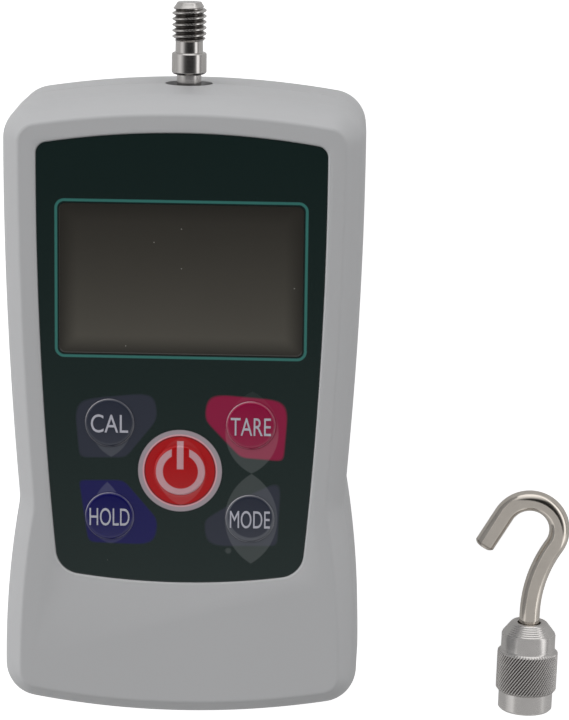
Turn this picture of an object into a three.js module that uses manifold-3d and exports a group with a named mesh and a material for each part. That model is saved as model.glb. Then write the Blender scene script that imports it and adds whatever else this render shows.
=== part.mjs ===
// A hand-held digital force gauge lying on its back, with its screw-on hook beside it.
// Millimetres. The origin is the middle of the flat back, +Z comes out of the display
// and +Y points along the measuring shaft, out of the top end.
import * as THREE from 'three';
import { mergeVertices } from 'three/addons/utils/BufferGeometryUtils.js';
import Module from 'manifold-3d';

const wasm = await Module();
wasm.setup();

// Clearances shared by all pieces
const gap = 0.3; // between pieces that fit inside or beside each other
const overrun = 1; // how far a cutter reaches past the face that it opens

// Outer shape of the housing, seen from the front: shallow arcs joined by round corners
const housing = {
  endRoom: 10.5, // from the load cell out to the top end
  faceBorder: 6.2, // beside the panel
  topArcRadius: 163,
  sideArcRadius: 744,
  sideArcHeight: 45, // where the long sides run straight up
  flareArcRadius: 167,
  flareArcHeight: -46, // where the flared foot is widest
  bottomArcRadius: 148,
  topCornerRadius: 6.2,
  waistRadius: 9,
  bottomCornerRadius: 6.2,
  partingHeight: 13, // the shells meet here, at the height of the measuring shaft
  draft: 0.15, // both shells are this much slimmer away from the parting
  frontBevelWidth: 2.8,
  frontBevelDrop: 3.2,
  backBevelWidth: 1.6,
  backBevelDrop: 1.8,
};

const shell = {
  wall: 2.4,
  frontPlate: 2.4,
  floor: 2,
  bayRoom: 4.9, // beside the battery tray, where the foot is widest
  lipWall: 1,
  lipHeight: 1.5,
  innerBevel: 1.6,
  shaftHoleRadius: 4.1,
};

// Posts for the four case screws, top pair and bottom pair
const casePost = {
  sideInset: 5.5,
  topInset: 7.8,
  bottomInset: 7,
  frontRadius: 2.9,
  backRadius: 3.3,
  screwRadius: 1.25,
  screwHeadRadius: 2.3,
  screwHeadHeight: 2.1,
  screwLength: 14,
  seatHeight: 6, // of the screw head's shoulder above the back
  slotWidth: 0.7,
  slotLength: 3,
  slotDepth: 1,
};

// Printed film panel on the front, in a shallow recess
const panel = {
  thickness: 0.3,
  recessDepth: 0.4,
  topY: 48.3,
  bottomY: -30,
  sideBorder: 3.9, // beside the display window
  sideArcHeight: 42,
  topArcRadius: 144,
  sideArcRadius: 696,
  bottomArcRadius: 125,
  topCornerRadius: 2,
  bottomCornerRadius: 4.4,
};

// Display: a clear window in the panel, and the glass and light guide behind it
const display = {
  centreY: 23.2,
  width: 41.5,
  height: 25.9,
  cornerRadius: 1.1,
  windowLedge: 1.1,
  windowFlange: 0.8,
  gasketThickness: 0.5,
  gasketWidth: 1.6,
  glassSideMargin: 1.75, // of the glass past the window
  glassEndMargin: 2.85,
  glassThickness: 2.2,
  glassCorner: 0.4,
  guideSideInset: 1,
  guideRoom: 0.5, // from the light guide to each contact strip
  stripSideInset: 2.5,
  stripEndInset: 2.1, // of a strip's middle line from the edge of the glass
  stripWidth: 1.8,
  stripHeight: 2.7,
};

// Keys: a round cap in the panel, a flange under the front plate and a stem on a snap dome
const keys = {
  smallRadius: 4.1,
  powerRadius: 7.3,
  columnX: 12.1,
  upperY: -1.8,
  lowerY: -18.3,
  powerY: -10,
  crown: 0.25,
  edgeRound: 0.35,
  flangeReach: 0.9,
  flangeThickness: 1.1,
  stemRadius: 1.6,
  domeRadius: 3.6,
  domeHeight: 0.35,
  domeSheet: 0.12,
};

const board = {
  thickness: 1.6,
  bottomY: -25,
  cornerRadius: 2,
  roomBelow: 3.6, // down to the load cell, for the parts soldered under the board
  screwSideInset: 2.7,
  screwTopInset: 2.3,
  screwBottomInset: 2.4,
  postRadius: 2.1,
  postClearance: 0.8, // from the upper posts to the display glass
  screwRadius: 0.95,
  screwHeadRadius: 1.8,
  screwHeadHeight: 1.3,
  screwLength: 5,
};

// Parts soldered under the board: middle of each in plan, then length, width and height
const underBoard = {
  mcu_chip: { x: -3, y: 2, length: 10, width: 10, height: 1.2 },
  converter_chip: { x: 8, y: 26, length: 5, width: 6.4, height: 1.2 },
  crystal: { x: -13, y: -3, length: 8, width: 3.6, height: 2.6 },
  cell_connector: { x: 18, y: 8, length: 5.6, width: 8, height: 4.2 },
  battery_connector: { x: -17, y: -14, length: 6, width: 7.6, height: 4.2 },
};

const buzzer = {
  x: 15,
  y: -11,
  radius: 4.5,
  height: 3.2,
  holeRadius: 0.8,
  holeDepth: 1.2,
};

// Sockets on the left edge of the board
const dataSocket = {
  y: 30,
  depth: 9,
  width: 7.8,
  height: 4,
  mouthWidth: 6.9,
  mouthHeight: 2.9,
  mouthDepth: 6,
  tongueThickness: 0.8,
  wallHoleWidth: 8,
  wallHoleHeight: 3.8,
};

const chargeSocket = {
  y: 17,
  depth: 10,
  width: 6.4,
  height: 5,
  boreRadius: 1.8,
  boreDepth: 8,
  pinRadius: 0.5,
  wallHoleRadius: 1.95,
};

// Load cell: a flat S-shaped spring block between the shaft and the load frame
const cell = {
  bottomY: -2,
  topY: 44,
  halfWidth: 14,
  thickness: 12,
  slotWidth: 2,
  slotReach: 20,
  upperSlotY: 31,
  lowerSlotY: 9,
  holeRadius: 4.2,
  holeSpread: 4,
  boreDepth: 9,
  screwSpread: 8,
};

const strainGauge = {
  length: 7,
  width: 4,
  thickness: 0.2,
};

// Load frame: a steel plate on the rear shell's floor with a block that holds the cell
const loadFrame = {
  plateThickness: 1.4,
  plateHalfWidth: 21,
  plateTopY: 38,
  plateBottomY: -15,
  blockHalfWidth: 12,
  blockLength: 10,
};

const cellScrew = {
  radius: 2,
  length: 16.4,
  headRadius: 3.4,
  headHeight: 3.8,
  socketRadius: 1.7,
  socketDepth: 2,
};

// Threaded inserts in the back, for fastening the gauge to a stand
const insert = {
  x: 16.5,
  upperY: 32,
  lowerY: -9,
  radius: 3,
  flangeRadius: 4.1,
  flangeThickness: 1.2,
  boreRadius: 1.35,
};

const battery = {
  radius: 7.25,
  length: 43,
  pitch: 14.8,
  endRoom: 3.35, // from the lower cell to the bottom end wall
  capRadius: 2.6,
  capHeight: 0.5,
  trayFloor: 1,
  trayWall: 1.2,
  trayWallHeight: 11.5,
  trayEndLength: 23,
  trayEndDrop: 1.8, // of the end walls below the lower cell's middle
  contactThickness: 0.3,
  contactLength: 20,
  contactHeight: 9,
};

// Wires: a flat ribbon from the cell to the board, and a lead from the battery tray
const ribbon = {
  width: 4,
  thickness: 0.25,
  y: 8,
  startX: 5,
  bendX: 11,
};

const lead = {
  radius: 0.8,
  startInset: 0.6,
};

// Measuring shaft, from its tail in the cell to the M6 stud at its tip
const shaft = {
  tailRadius: 2,
  tailLength: 7,
  shoulderRadius: 4.5,
  shoulderLength: 1.8,
  neckRadius: 2.13,
  collarLift: 1.6, // of the collar above the end of the housing
  collarRadius: 3.03,
  collarLength: 3.7,
  collarChamfer: 0.3,
  reliefRadius: 2.38,
  reliefLength: 2.3,
  threadRadius: 2.95,
  threadRootRadius: 2.4,
  threadPitch: 1,
  threadLength: 6.4,
  tipChamfer: 0.7,
};

// Hook adapter that screws onto the stud, lying beside the gauge
const adapter = {
  x: 61.7,
  y: -60.2,
  lean: 1.3, // degrees, top to the right
  plainRadius: 4.9,
  knurlRadius: 5.5,
  knurlStart: 3.6,
  knurlEnd: 11.3,
  coneStart: 14.45,
  length: 16.6,
  mouthRadius: 3.1,
  chamfer: 0.4,
  boreRadius: 3.15,
  boreDepth: 10.5,
};

const hook = {
  wireRadius: 1.85,
  headRadius: 2.45,
  headLength: 1.3,
  straightEnd: 18.3, // where the wire starts to bend, above the coupling's foot
  neckBendRadius: 23.3,
  neckBendAngle: 32.7,
  bowlRadius: 5.4,
  bowlAngle: 150.4,
  tipLength: 7.1,
};

const facets = {
  bigArc: 4,
  corner: 5,
  hexagon: 6,
  small: 12,
  medium: 16,
  large: 24,
  wire: 10,
  hookSteps: 32,
  leadSteps: 8,
};

// Heights that follow from the sizes above: the load cell carries the shaft at the parting,
// and the board and the display are stacked over it up to the front face
const cellTopZ = housing.partingHeight + cell.thickness / 2;
const cellUnderZ = housing.partingHeight - cell.thickness / 2;
const boardUnderZ = cellTopZ + board.roomBelow;
const boardTopZ = boardUnderZ + board.thickness;
const glassUnderZ = boardTopZ + display.stripHeight;
const glassTopZ = glassUnderZ + display.glassThickness;
const plateUnderZ = glassTopZ + display.gasketThickness;
const faceZ = plateUnderZ + shell.frontPlate;
const recessZ = faceZ - panel.recessDepth;
const panelTopZ = recessZ + panel.thickness;
const frameTopZ = shell.floor + loadFrame.plateThickness;
const trayFloorZ = shell.floor + battery.trayFloor;
const batteryZ = trayFloorZ + gap + battery.radius;
const shaftEndY = cell.topY + housing.endRoom;

// Widths and places that follow: the foot holds the battery tray, and the board's upper
// screws pass above the display glass
const contactInnerX = battery.length / 2 + gap;
const trayWallInnerX = contactInnerX + battery.contactThickness + gap;
const trayOuterX = trayWallInnerX + battery.trayWall;
const footHalfWidth = trayOuterX + shell.bayRoom + shell.wall;
const panelHalfWidth = display.width / 2 + panel.sideBorder;
const topHalfWidth = panelHalfWidth + housing.faceBorder;
const lowerCellY = battery.radius + battery.endRoom + shell.wall - shaftEndY;
const upperCellY = lowerCellY + battery.pitch;
const trayEndBottomY = lowerCellY - battery.trayEndDrop;
const glassWidth = display.width + 2 * display.glassSideMargin;
const glassHeight = display.height + 2 * display.glassEndMargin;
const stripOffset = glassHeight / 2 - display.stripEndInset;
const boardHalfWidth = glassWidth / 2 - display.guideSideInset; // flush with the light guide
const glassTopY = display.centreY + glassHeight / 2;
const upperScrewY = glassTopY + board.postClearance + board.postRadius;
const boardTopY = upperScrewY + board.screwTopInset;

// Surfaces
const paint = (color, roughness, metalness = 0) => ({ color, roughness, metalness });
const surfaces = {
  shellPlastic: paint(0xb9babb, 0.55),
  panelFilm: paint(0x1c2421, 0.35),
  clearPlastic: paint(0x4a4741, 0.12),
  foam: paint(0x2a2a2a, 0.95),
  glass: paint(0x6b6862, 0.1),
  guide: paint(0xe6e8e4, 0.3),
  rubber: paint(0xc97f8a, 0.8),
  boardGreen: paint(0x1f6b3a, 0.5),
  chipBlack: paint(0x1b1b1d, 0.5),
  connectorWhite: paint(0xe9e4d2, 0.5),
  steel: paint(0xb8b6b2, 0.3, 1),
  nickel: paint(0xc9c6bd, 0.28, 1),
  aluminium: paint(0xc4c7cb, 0.4, 1),
  brass: paint(0xc7a04a, 0.3, 1),
  keyGrey: paint(0x4c4f5a, 0.4),
  keyCrimson: paint(0xb3274f, 0.4),
  keyBlue: paint(0x2f2a86, 0.4),
  keyRed: paint(0xc4262c, 0.4),
  batteryGreen: paint(0x2e7d4f, 0.45),
  trayBlack: paint(0x232427, 0.6),
  foil: paint(0xc98b4a, 0.5),
  wireRed: paint(0xb02a24, 0.5),
  ribbonGrey: paint(0x9a9da1, 0.5),
};

const gauge = new THREE.Group();
gauge.name = 'digital_force_gauge';

// A closed three.js geometry as a solid for cutting and joining
function solid(geometry) {
  const bare = geometry.clone();
  bare.deleteAttribute('normal');
  bare.deleteAttribute('uv');
  const merged = mergeVertices(bare);
  const corners = merged.index.array;
  const triangles = [];
  for (let i = 0; i < corners.length; i += 3) {
    const [a, b, c] = corners.slice(i, i + 3);
    if (a !== b && b !== c && c !== a) triangles.push(a, b, c);
  }
  const points = merged.attributes.position.array;
  const outward = insideOut(points, triangles) ? triangles.reverse() : triangles;
  const mesh = new wasm.Mesh({
    numProp: 3,
    vertProperties: Float32Array.from(points),
    triVerts: Uint32Array.from(outward),
  });
  return new wasm.Manifold(mesh);
}

// True when the faces point inward, which makes the signed volume negative
function insideOut(points, triangles) {
  const corner = (i) => new THREE.Vector3().fromArray(points, triangles[i] * 3);
  let volume = 0;
  for (let i = 0; i < triangles.length; i += 3) {
    volume += corner(i).dot(corner(i + 1).cross(corner(i + 2)));
  }
  return volume < 0;
}

const join = (first, ...others) => others.reduce((whole, piece) => whole.add(piece), first);
const cut = (first, ...tools) => tools.reduce((whole, tool) => whole.subtract(tool), first);

// Adds a solid as a named mesh to a group
function addPiece(name, shape, surface, parent = gauge) {
  const { vertProperties, triVerts } = shape.getMesh();
  const geometry = new THREE.BufferGeometry();
  geometry.setAttribute('position', new THREE.BufferAttribute(vertProperties, 3));
  geometry.setIndex(new THREE.BufferAttribute(triVerts, 1));
  geometry.computeVertexNormals();
  const mesh = new THREE.Mesh(geometry, new THREE.MeshStandardMaterial(surface));
  mesh.name = name;
  parent.add(mesh);
  return mesh;
}

// A block between two corners
function block([x0, y0, z0], [x1, y1, z1]) {
  const geometry = new THREE.BoxGeometry(x1 - x0, y1 - y0, z1 - z0);
  return solid(geometry.translate((x0 + x1) / 2, (y0 + y1) / 2, (z0 + z1) / 2));
}

// An outline extruded upward from one height to another
function prism(points, bottom, top) {
  const extrusion = { depth: top - bottom, bevelEnabled: false };
  const geometry = new THREE.ExtrudeGeometry(new THREE.Shape(points), extrusion);
  return solid(geometry.translate(0, 0, bottom));
}

// A round solid about +Z through [radius, height] points, closed on the axis at both ends
function turned(profile, x = 0, y = 0, sides = facets.medium) {
  const points = [[0, profile[0][1]], ...profile, [0, profile[profile.length - 1][1]]];
  const outline = points.map(([radius, height]) => new THREE.Vector2(radius, height));
  const geometry = new THREE.LatheGeometry(outline, sides);
  return solid(geometry.rotateX(Math.PI / 2).translate(x, y, 0));
}

// The same about +Y, the way the shaft and the hook adapter point
function turnedAlongY(profile, x = 0, z = 0, sides = facets.medium) {
  const points = [[0, profile[0][1]], ...profile, [0, profile[profile.length - 1][1]]];
  const outline = points.map(([radius, height]) => new THREE.Vector2(radius, height));
  return solid(new THREE.LatheGeometry(outline, sides).translate(x, 0, z));
}

function rod(radius, bottom, top, x, y, sides = facets.medium) {
  return turned([[radius, bottom], [radius, top]], x, y, sides);
}

function rodAlongY(radius, from, to, x, z, sides = facets.medium) {
  return turnedAlongY([[radius, from], [radius, to]], x, z, sides);
}

function rodAlongX(radius, from, to, y, z, sides = facets.medium) {
  const geometry = new THREE.CylinderGeometry(radius, radius, to - from, sides);
  return solid(geometry.rotateZ(Math.PI / 2).translate((from + to) / 2, y, z));
}

// A rectangle with round corners, middle at the display's axis unless told otherwise
function roundedRectangle(width, height, radius, centreY = display.centreY) {
  const points = [];
  const corners = [[1, 1], [-1, 1], [-1, -1], [1, -1]];
  corners.forEach(([right, up], index) => {
    const x = right * (width / 2 - radius);
    const y = centreY + up * (height / 2 - radius);
    for (let step = 0; step <= facets.corner; step += 1) {
      const angle = (index + step / facets.corner) * (Math.PI / 2);
      points.push(new THREE.Vector2(x + radius * Math.cos(angle), y + radius * Math.sin(angle)));
    }
  });
  return points;
}

// The crossing of two circles that lies further to the right
function circlesMeet(first, firstRadius, second, secondRadius) {
  const span = second.clone().sub(first);
  const distance = span.length();
  const along = (distance ** 2 + firstRadius ** 2 - secondRadius ** 2) / (2 * distance);
  const across = Math.sqrt(firstRadius ** 2 - along ** 2);
  const direction = span.divideScalar(distance);
  const foot = first.clone().addScaledVector(direction, along);
  const normal = new THREE.Vector2(-direction.y, direction.x);
  const sign = normal.x > 0 ? 1 : -1;
  return foot.addScaledVector(normal, sign * across);
}

const bearing = (from, to) => Math.atan2(to.y - from.y, to.x - from.x);

function arcPoints(centre, radius, start, end, steps) {
  return Array.from({ length: steps }, (_, step) => {
    const angle = start + ((end - start) * step) / steps;
    const arm = new THREE.Vector2(Math.cos(angle), Math.sin(angle));
    return arm.multiplyScalar(radius).add(centre);
  });
}

// Arcs from the top middle down the right side to the bottom middle, each joined to the
// next by a fillet and mirrored to the left. A fillet of negative radius fills a hollow
// corner. An inset draws every arc and fillet in by the same amount.
function arcOutline(arcs, fillets, inset = 0) {
  const half = [];
  let angle = Math.PI / 2;
  arcs.forEach((arc, index) => {
    const next = arcs[index + 1];
    const radius = fillets[index];
    const reach = arc.radius - radius;
    const corner = next && circlesMeet(arc.centre, reach, next.centre, next.radius - radius);
    const end = corner ? bearing(arc.centre, corner) : -Math.PI / 2;
    half.push(...arcPoints(arc.centre, arc.radius - inset, angle, end, facets.bigArc));
    if (corner) {
      angle = bearing(next.centre, corner);
      half.push(...arcPoints(corner, radius - inset, end, angle, facets.corner));
    }
  });
  const last = arcs[arcs.length - 1];
  half.push(new THREE.Vector2(0, last.centre.y - last.radius + inset));
  const mirrored = half.slice(1, -1).reverse().map((point) => new THREE.Vector2(-point.x, point.y));
  return [...half, ...mirrored].reverse();
}

function housingOutline(inset) {
  const end = shaftEndY;
  const topCentreX = topHalfWidth - housing.sideArcRadius;
  const flareCentreX = footHalfWidth - housing.flareArcRadius;
  const arcs = [
    { centre: new THREE.Vector2(0, end - housing.topArcRadius), radius: housing.topArcRadius },
    {
      centre: new THREE.Vector2(topCentreX, housing.sideArcHeight),
      radius: housing.sideArcRadius,
    },
    {
      centre: new THREE.Vector2(flareCentreX, housing.flareArcHeight),
      radius: housing.flareArcRadius,
    },
    { centre: new THREE.Vector2(0, housing.bottomArcRadius - end), radius: housing.bottomArcRadius },
  ];
  const fillets = [housing.topCornerRadius, -housing.waistRadius, housing.bottomCornerRadius];
  return arcOutline(arcs, fillets, inset);
}

function panelOutline(inset) {
  const arcs = [
    { centre: new THREE.Vector2(0, panel.topY - panel.topArcRadius), radius: panel.topArcRadius },
    {
      centre: new THREE.Vector2(panelHalfWidth - panel.sideArcRadius, panel.sideArcHeight),
      radius: panel.sideArcRadius,
    },
    {
      centre: new THREE.Vector2(0, panel.bottomY + panel.bottomArcRadius),
      radius: panel.bottomArcRadius,
    },
  ];
  return arcOutline(arcs, [panel.topCornerRadius, panel.bottomCornerRadius], inset);
}

// A solid through housing outlines of several [inset, height] levels, lowest first
function housingStack(levels) {
  const outlines = levels.map(([inset]) => housingOutline(inset));
  const count = outlines[0].length;
  const positions = outlines.flatMap((outline, level) => {
    return outline.flatMap(({ x, y }) => [x, y, levels[level][1]]);
  });
  const faces = [];
  for (let level = 0; level < levels.length - 1; level += 1) {
    for (let step = 0; step < count; step += 1) {
      const here = level * count + step;
      const beside = level * count + ((step + 1) % count);
      faces.push(here, beside, beside + count, here, beside + count, here + count);
    }
  }
  const top = (levels.length - 1) * count;
  THREE.ShapeUtils.triangulateShape(outlines[0], []).forEach(([a, b, c]) => {
    faces.push(c, b, a);
  });
  THREE.ShapeUtils.triangulateShape(outlines[levels.length - 1], []).forEach(([a, b, c]) => {
    faces.push(top + a, top + b, top + c);
  });
  const geometry = new THREE.BufferGeometry();
  geometry.setAttribute('position', new THREE.Float32BufferAttribute(positions, 3));
  geometry.setIndex(faces);
  return solid(geometry);
}

// Four places that mirror each other to the left, an upper and a lower pair
function fourPlaces(upperX, upperY, lowerX, lowerY) {
  return [
    { name: 'top_right', x: upperX, y: upperY },
    { name: 'top_left', x: -upperX, y: upperY },
    { name: 'bottom_right', x: lowerX, y: lowerY },
    { name: 'bottom_left', x: -lowerX, y: lowerY },
  ];
}

const casePosts = fourPlaces(
  topHalfWidth - casePost.sideInset,
  shaftEndY - casePost.topInset,
  footHalfWidth - casePost.sideInset,
  casePost.bottomInset - shaftEndY,
);
const screwX = boardHalfWidth - board.screwSideInset;
const lowerScrewY = board.bottomY + board.screwBottomInset;
const boardPosts = fourPlaces(screwX, upperScrewY, screwX, lowerScrewY);
const insertPlaces = fourPlaces(insert.x, insert.upperY, insert.x, insert.lowerY);

const smallKey = (name, x, y, surface) => {
  return { name, x, y, surface, radius: keys.smallRadius, sides: facets.medium };
};
const keyPlaces = [
  smallKey('key_upper_left', -keys.columnX, keys.upperY, surfaces.keyGrey),
  smallKey('key_upper_right', keys.columnX, keys.upperY, surfaces.keyCrimson),
  smallKey('key_lower_left', -keys.columnX, keys.lowerY, surfaces.keyBlue),
  smallKey('key_lower_right', keys.columnX, keys.lowerY, surfaces.keyGrey),
  {
    name: 'key_power',
    x: 0,
    y: keys.powerY,
    surface: surfaces.keyRed,
    radius: keys.powerRadius,
    sides: facets.large,
  },
];

// The hole for the shaft, cut half and half into both shells
function shaftHole() {
  const from = shaftEndY - shell.wall - shell.lipWall - gap - overrun;
  return rodAlongY(shell.shaftHoleRadius, from, shaftEndY + overrun, 0, housing.partingHeight);
}

function frontShell() {
  const bevelZ = faceZ - housing.frontBevelDrop;
  const outside = housingStack([
    [0, housing.partingHeight],
    [housing.draft, bevelZ],
    [housing.frontBevelWidth, faceZ],
  ]);
  const hollow = housingStack([
    [shell.wall, housing.partingHeight - overrun],
    [shell.wall + housing.draft, plateUnderZ - shell.innerBevel],
    [shell.wall + housing.draft + shell.innerBevel, plateUnderZ],
  ]);
  const postTopZ = plateUnderZ + gap;
  const posts = casePosts.map(({ x, y }) => {
    return rod(casePost.frontRadius, housing.partingHeight + gap, postTopZ, x, y);
  });
  const boardPegs = boardPosts.map(({ x, y }) => {
    return rod(board.postRadius, boardTopZ, postTopZ, x, y, facets.small);
  });
  const screwTopZ = casePost.seatHeight + casePost.screwLength;
  const caseBores = casePosts.map(({ x, y }) => {
    return rod(casePost.screwRadius + gap, housing.partingHeight, screwTopZ + gap, x, y, facets.small);
  });
  const boardScrewTopZ = boardUnderZ + board.screwLength;
  const boardBores = boardPosts.map(({ x, y }) => {
    const radius = board.screwRadius + gap;
    return rod(radius, boardTopZ - overrun, boardScrewTopZ + gap, x, y, facets.small);
  });
  const keyHoles = keyPlaces.map(({ x, y, radius, sides }) => {
    return rod(radius + gap, plateUnderZ - overrun, faceZ, x, y, sides);
  });
  const ledge = 2 * display.windowLedge;
  const windowHole = prism(
    roundedRectangle(display.width - ledge, display.height - ledge, display.cornerRadius),
    plateUnderZ - overrun,
    faceZ,
  );
  const windowSeat = prism(
    roundedRectangle(display.width + ledge, display.height + ledge, display.cornerRadius),
    recessZ - display.windowFlange,
    faceZ,
  );
  const recess = prism(panelOutline(0), recessZ, faceZ + overrun);
  return cut(
    join(cut(outside, hollow), ...posts, ...boardPegs),
    recess,
    windowSeat,
    windowHole,
    shaftHole(),
    dataSocketHole(),
    chargeSocketHole(),
    ...caseBores,
    ...boardBores,
    ...keyHoles,
  );
}

function rearShell() {
  const lipInset = shell.wall + gap;
  const hollowInset = lipInset + shell.lipWall;
  const lipTopZ = housing.partingHeight + shell.lipHeight;
  const outside = housingStack([
    [housing.draft + housing.backBevelWidth, 0],
    [housing.draft, housing.backBevelDrop],
    [0, housing.partingHeight],
  ]);
  const lip = housingStack([
    [lipInset, shell.floor],
    [lipInset, lipTopZ],
  ]);
  const hollow = housingStack([
    [hollowInset, shell.floor],
    [hollowInset, lipTopZ + overrun],
  ]);
  const posts = casePosts.map(({ x, y }) => {
    return rod(casePost.backRadius, shell.floor - gap, housing.partingHeight, x, y);
  });
  const clearPosts = casePosts.map(({ x, y }) => {
    return rod(casePost.frontRadius + gap, housing.partingHeight, lipTopZ + overrun, x, y);
  });
  const headPockets = casePosts.map(({ x, y }) => {
    return rod(casePost.screwHeadRadius + gap, -overrun, casePost.seatHeight, x, y, facets.small);
  });
  const screwBores = casePosts.map(({ x, y }) => {
    return rod(casePost.screwRadius + gap, 0, housing.partingHeight + overrun, x, y, facets.small);
  });
  const insertHoles = insertPlaces.map(({ x, y }) => {
    return rod(insert.radius + gap, -overrun, shell.floor + overrun, x, y);
  });
  return cut(
    join(cut(join(outside, lip), hollow), ...posts),
    ...clearPosts,
    shaftHole(),
    ...headPockets,
    ...screwBores,
    ...insertHoles,
  );
}

// A machine screw with its head down and a cross slot in the head
function caseScrew({ x, y }) {
  const headZ = casePost.seatHeight - casePost.screwHeadHeight;
  const tipZ = casePost.seatHeight + casePost.screwLength;
  const body = turned([
    [casePost.screwHeadRadius, headZ],
    [casePost.screwHeadRadius, casePost.seatHeight],
    [casePost.screwRadius, casePost.seatHeight],
    [casePost.screwRadius, tipZ],
  ], x, y, facets.small);
  const halfLength = casePost.slotLength / 2;
  const halfWidth = casePost.slotWidth / 2;
  const slotTopZ = headZ + casePost.slotDepth;
  const slots = [[halfLength, halfWidth], [halfWidth, halfLength]].map(([dx, dy]) => {
    return block([x - dx, y - dy, headZ - overrun], [x + dx, y + dy, slotTopZ]);
  });
  return cut(body, ...slots);
}

function boardScrew({ x, y }) {
  return turned([
    [board.screwHeadRadius, boardUnderZ - board.screwHeadHeight],
    [board.screwHeadRadius, boardUnderZ],
    [board.screwRadius, boardUnderZ],
    [board.screwRadius, boardUnderZ + board.screwLength],
  ], x, y, facets.small);
}

function panelOverlay() {
  const sheet = prism(panelOutline(gap / 2), recessZ, panelTopZ);
  const window = prism(
    roundedRectangle(display.width, display.height, display.cornerRadius),
    recessZ - overrun,
    panelTopZ + overrun,
  );
  const keyHoles = keyPlaces.map(({ x, y, radius, sides }) => {
    return rod(radius + gap, recessZ - overrun, panelTopZ + overrun, x, y, sides);
  });
  return cut(sheet, window, ...keyHoles);
}

function displayWindow() {
  const { width, height, cornerRadius } = display;
  const flangeSide = 2 * display.windowLedge - 2 * gap;
  const flange = roundedRectangle(width + flangeSide, height + flangeSide, cornerRadius);
  const raised = roundedRectangle(width - gap, height - gap, cornerRadius);
  return join(
    prism(flange, recessZ - display.windowFlange, recessZ),
    prism(raised, recessZ - display.windowFlange, panelTopZ),
  );
}

function displayGasket() {
  const { glassCorner } = display;
  const border = 2 * display.gasketWidth;
  const outer = roundedRectangle(glassWidth, glassHeight, glassCorner);
  const inner = roundedRectangle(glassWidth - border, glassHeight - border, glassCorner);
  return cut(
    prism(outer, glassTopZ, plateUnderZ),
    prism(inner, glassTopZ - overrun, plateUnderZ + overrun),
  );
}

function displayGlass() {
  const outline = roundedRectangle(glassWidth, glassHeight, display.glassCorner);
  return prism(outline, glassUnderZ, glassTopZ);
}

function lightGuide() {
  const halfHeight = stripOffset - display.stripWidth / 2 - display.guideRoom;
  return block(
    [-boardHalfWidth, display.centreY - halfHeight, boardTopZ],
    [boardHalfWidth, display.centreY + halfHeight, glassUnderZ],
  );
}

function contactStrip(side) {
  const middleY = display.centreY + side * stripOffset;
  const halfLength = glassWidth / 2 - display.stripSideInset;
  return block(
    [-halfLength, middleY - display.stripWidth / 2, boardTopZ],
    [halfLength, middleY + display.stripWidth / 2, glassUnderZ],
  );
}

function keyCap({ x, y, radius, sides }) {
  const flangeTopZ = plateUnderZ - gap;
  const flangeUnderZ = flangeTopZ - keys.flangeThickness;
  const stemEndZ = boardTopZ + keys.domeHeight + gap;
  const flangeRadius = radius + keys.flangeReach;
  return turned([
    [keys.stemRadius, stemEndZ],
    [keys.stemRadius, flangeUnderZ],
    [flangeRadius, flangeUnderZ],
    [flangeRadius, flangeTopZ],
    [radius, flangeTopZ],
    [radius, panelTopZ],
    [radius - keys.edgeRound, panelTopZ + keys.crown / 2],
    [radius / 2, panelTopZ + keys.crown],
  ], x, y, sides);
}

// A shallow spring dome, hollow underneath. The arch falls with the square of the radius.
function snapDome({ x, y }) {
  const archShares = [0.2, 0.6, 1];
  const rise = keys.domeHeight - keys.domeSheet;
  const inner = archShares.map((share) => {
    return [share * keys.domeRadius, boardTopZ + (1 - share ** 2) * rise];
  });
  const outer = inner.map(([radius, height]) => [radius, height + keys.domeSheet]).reverse();
  return turned([...inner, ...outer], x, y, facets.small);
}

function mainBoard() {
  const height = boardTopY - board.bottomY;
  const middleY = (boardTopY + board.bottomY) / 2;
  const sheet = prism(
    roundedRectangle(2 * boardHalfWidth, height, board.cornerRadius, middleY),
    boardUnderZ,
    boardTopZ,
  );
  const holes = boardPosts.map(({ x, y }) => {
    return rod(board.screwRadius + gap, boardUnderZ - overrun, boardTopZ + overrun, x, y, facets.small);
  });
  return cut(sheet, ...holes);
}

function boardPart({ x, y, length, width, height }) {
  return block(
    [x - length / 2, y - width / 2, boardUnderZ - height],
    [x + length / 2, y + width / 2, boardUnderZ],
  );
}

function buzzerCan() {
  const { x, y } = buzzer;
  const bottomZ = boardUnderZ - buzzer.height;
  const can = rod(buzzer.radius, bottomZ, boardUnderZ, x, y);
  const holeTopZ = bottomZ + buzzer.holeDepth;
  return cut(can, rod(buzzer.holeRadius, bottomZ - overrun, holeTopZ, x, y, facets.small));
}

// Left face of the front shell's inner wall beside a socket, where the socket's mouth sits
const socketFaceX = -(topHalfWidth - shell.wall - housing.draft - 2 * gap);
const outsideX = -(topHalfWidth + overrun);

function dataSocketPiece() {
  const { y, width, height, mouthWidth, mouthHeight, mouthDepth, tongueThickness } = dataSocket;
  const middleZ = boardUnderZ - height / 2;
  const body = block(
    [socketFaceX, y - width / 2, boardUnderZ - height],
    [socketFaceX + dataSocket.depth, y + width / 2, boardUnderZ],
  );
  const mouth = block(
    [socketFaceX - overrun, y - mouthWidth / 2, middleZ - mouthHeight / 2],
    [socketFaceX + mouthDepth, y + mouthWidth / 2, middleZ + mouthHeight / 2],
  );
  const tongue = block(
    [socketFaceX + gap, y - mouthWidth / 4, middleZ - tongueThickness / 2],
    [socketFaceX + mouthDepth + gap, y + mouthWidth / 4, middleZ + tongueThickness / 2],
  );
  return join(cut(body, mouth), tongue);
}

function dataSocketHole() {
  const { y, height, wallHoleWidth, wallHoleHeight } = dataSocket;
  const middleZ = boardUnderZ - height / 2;
  return block(
    [outsideX, y - wallHoleWidth / 2, middleZ - wallHoleHeight / 2],
    [socketFaceX, y + wallHoleWidth / 2, middleZ + wallHoleHeight / 2],
  );
}

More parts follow.
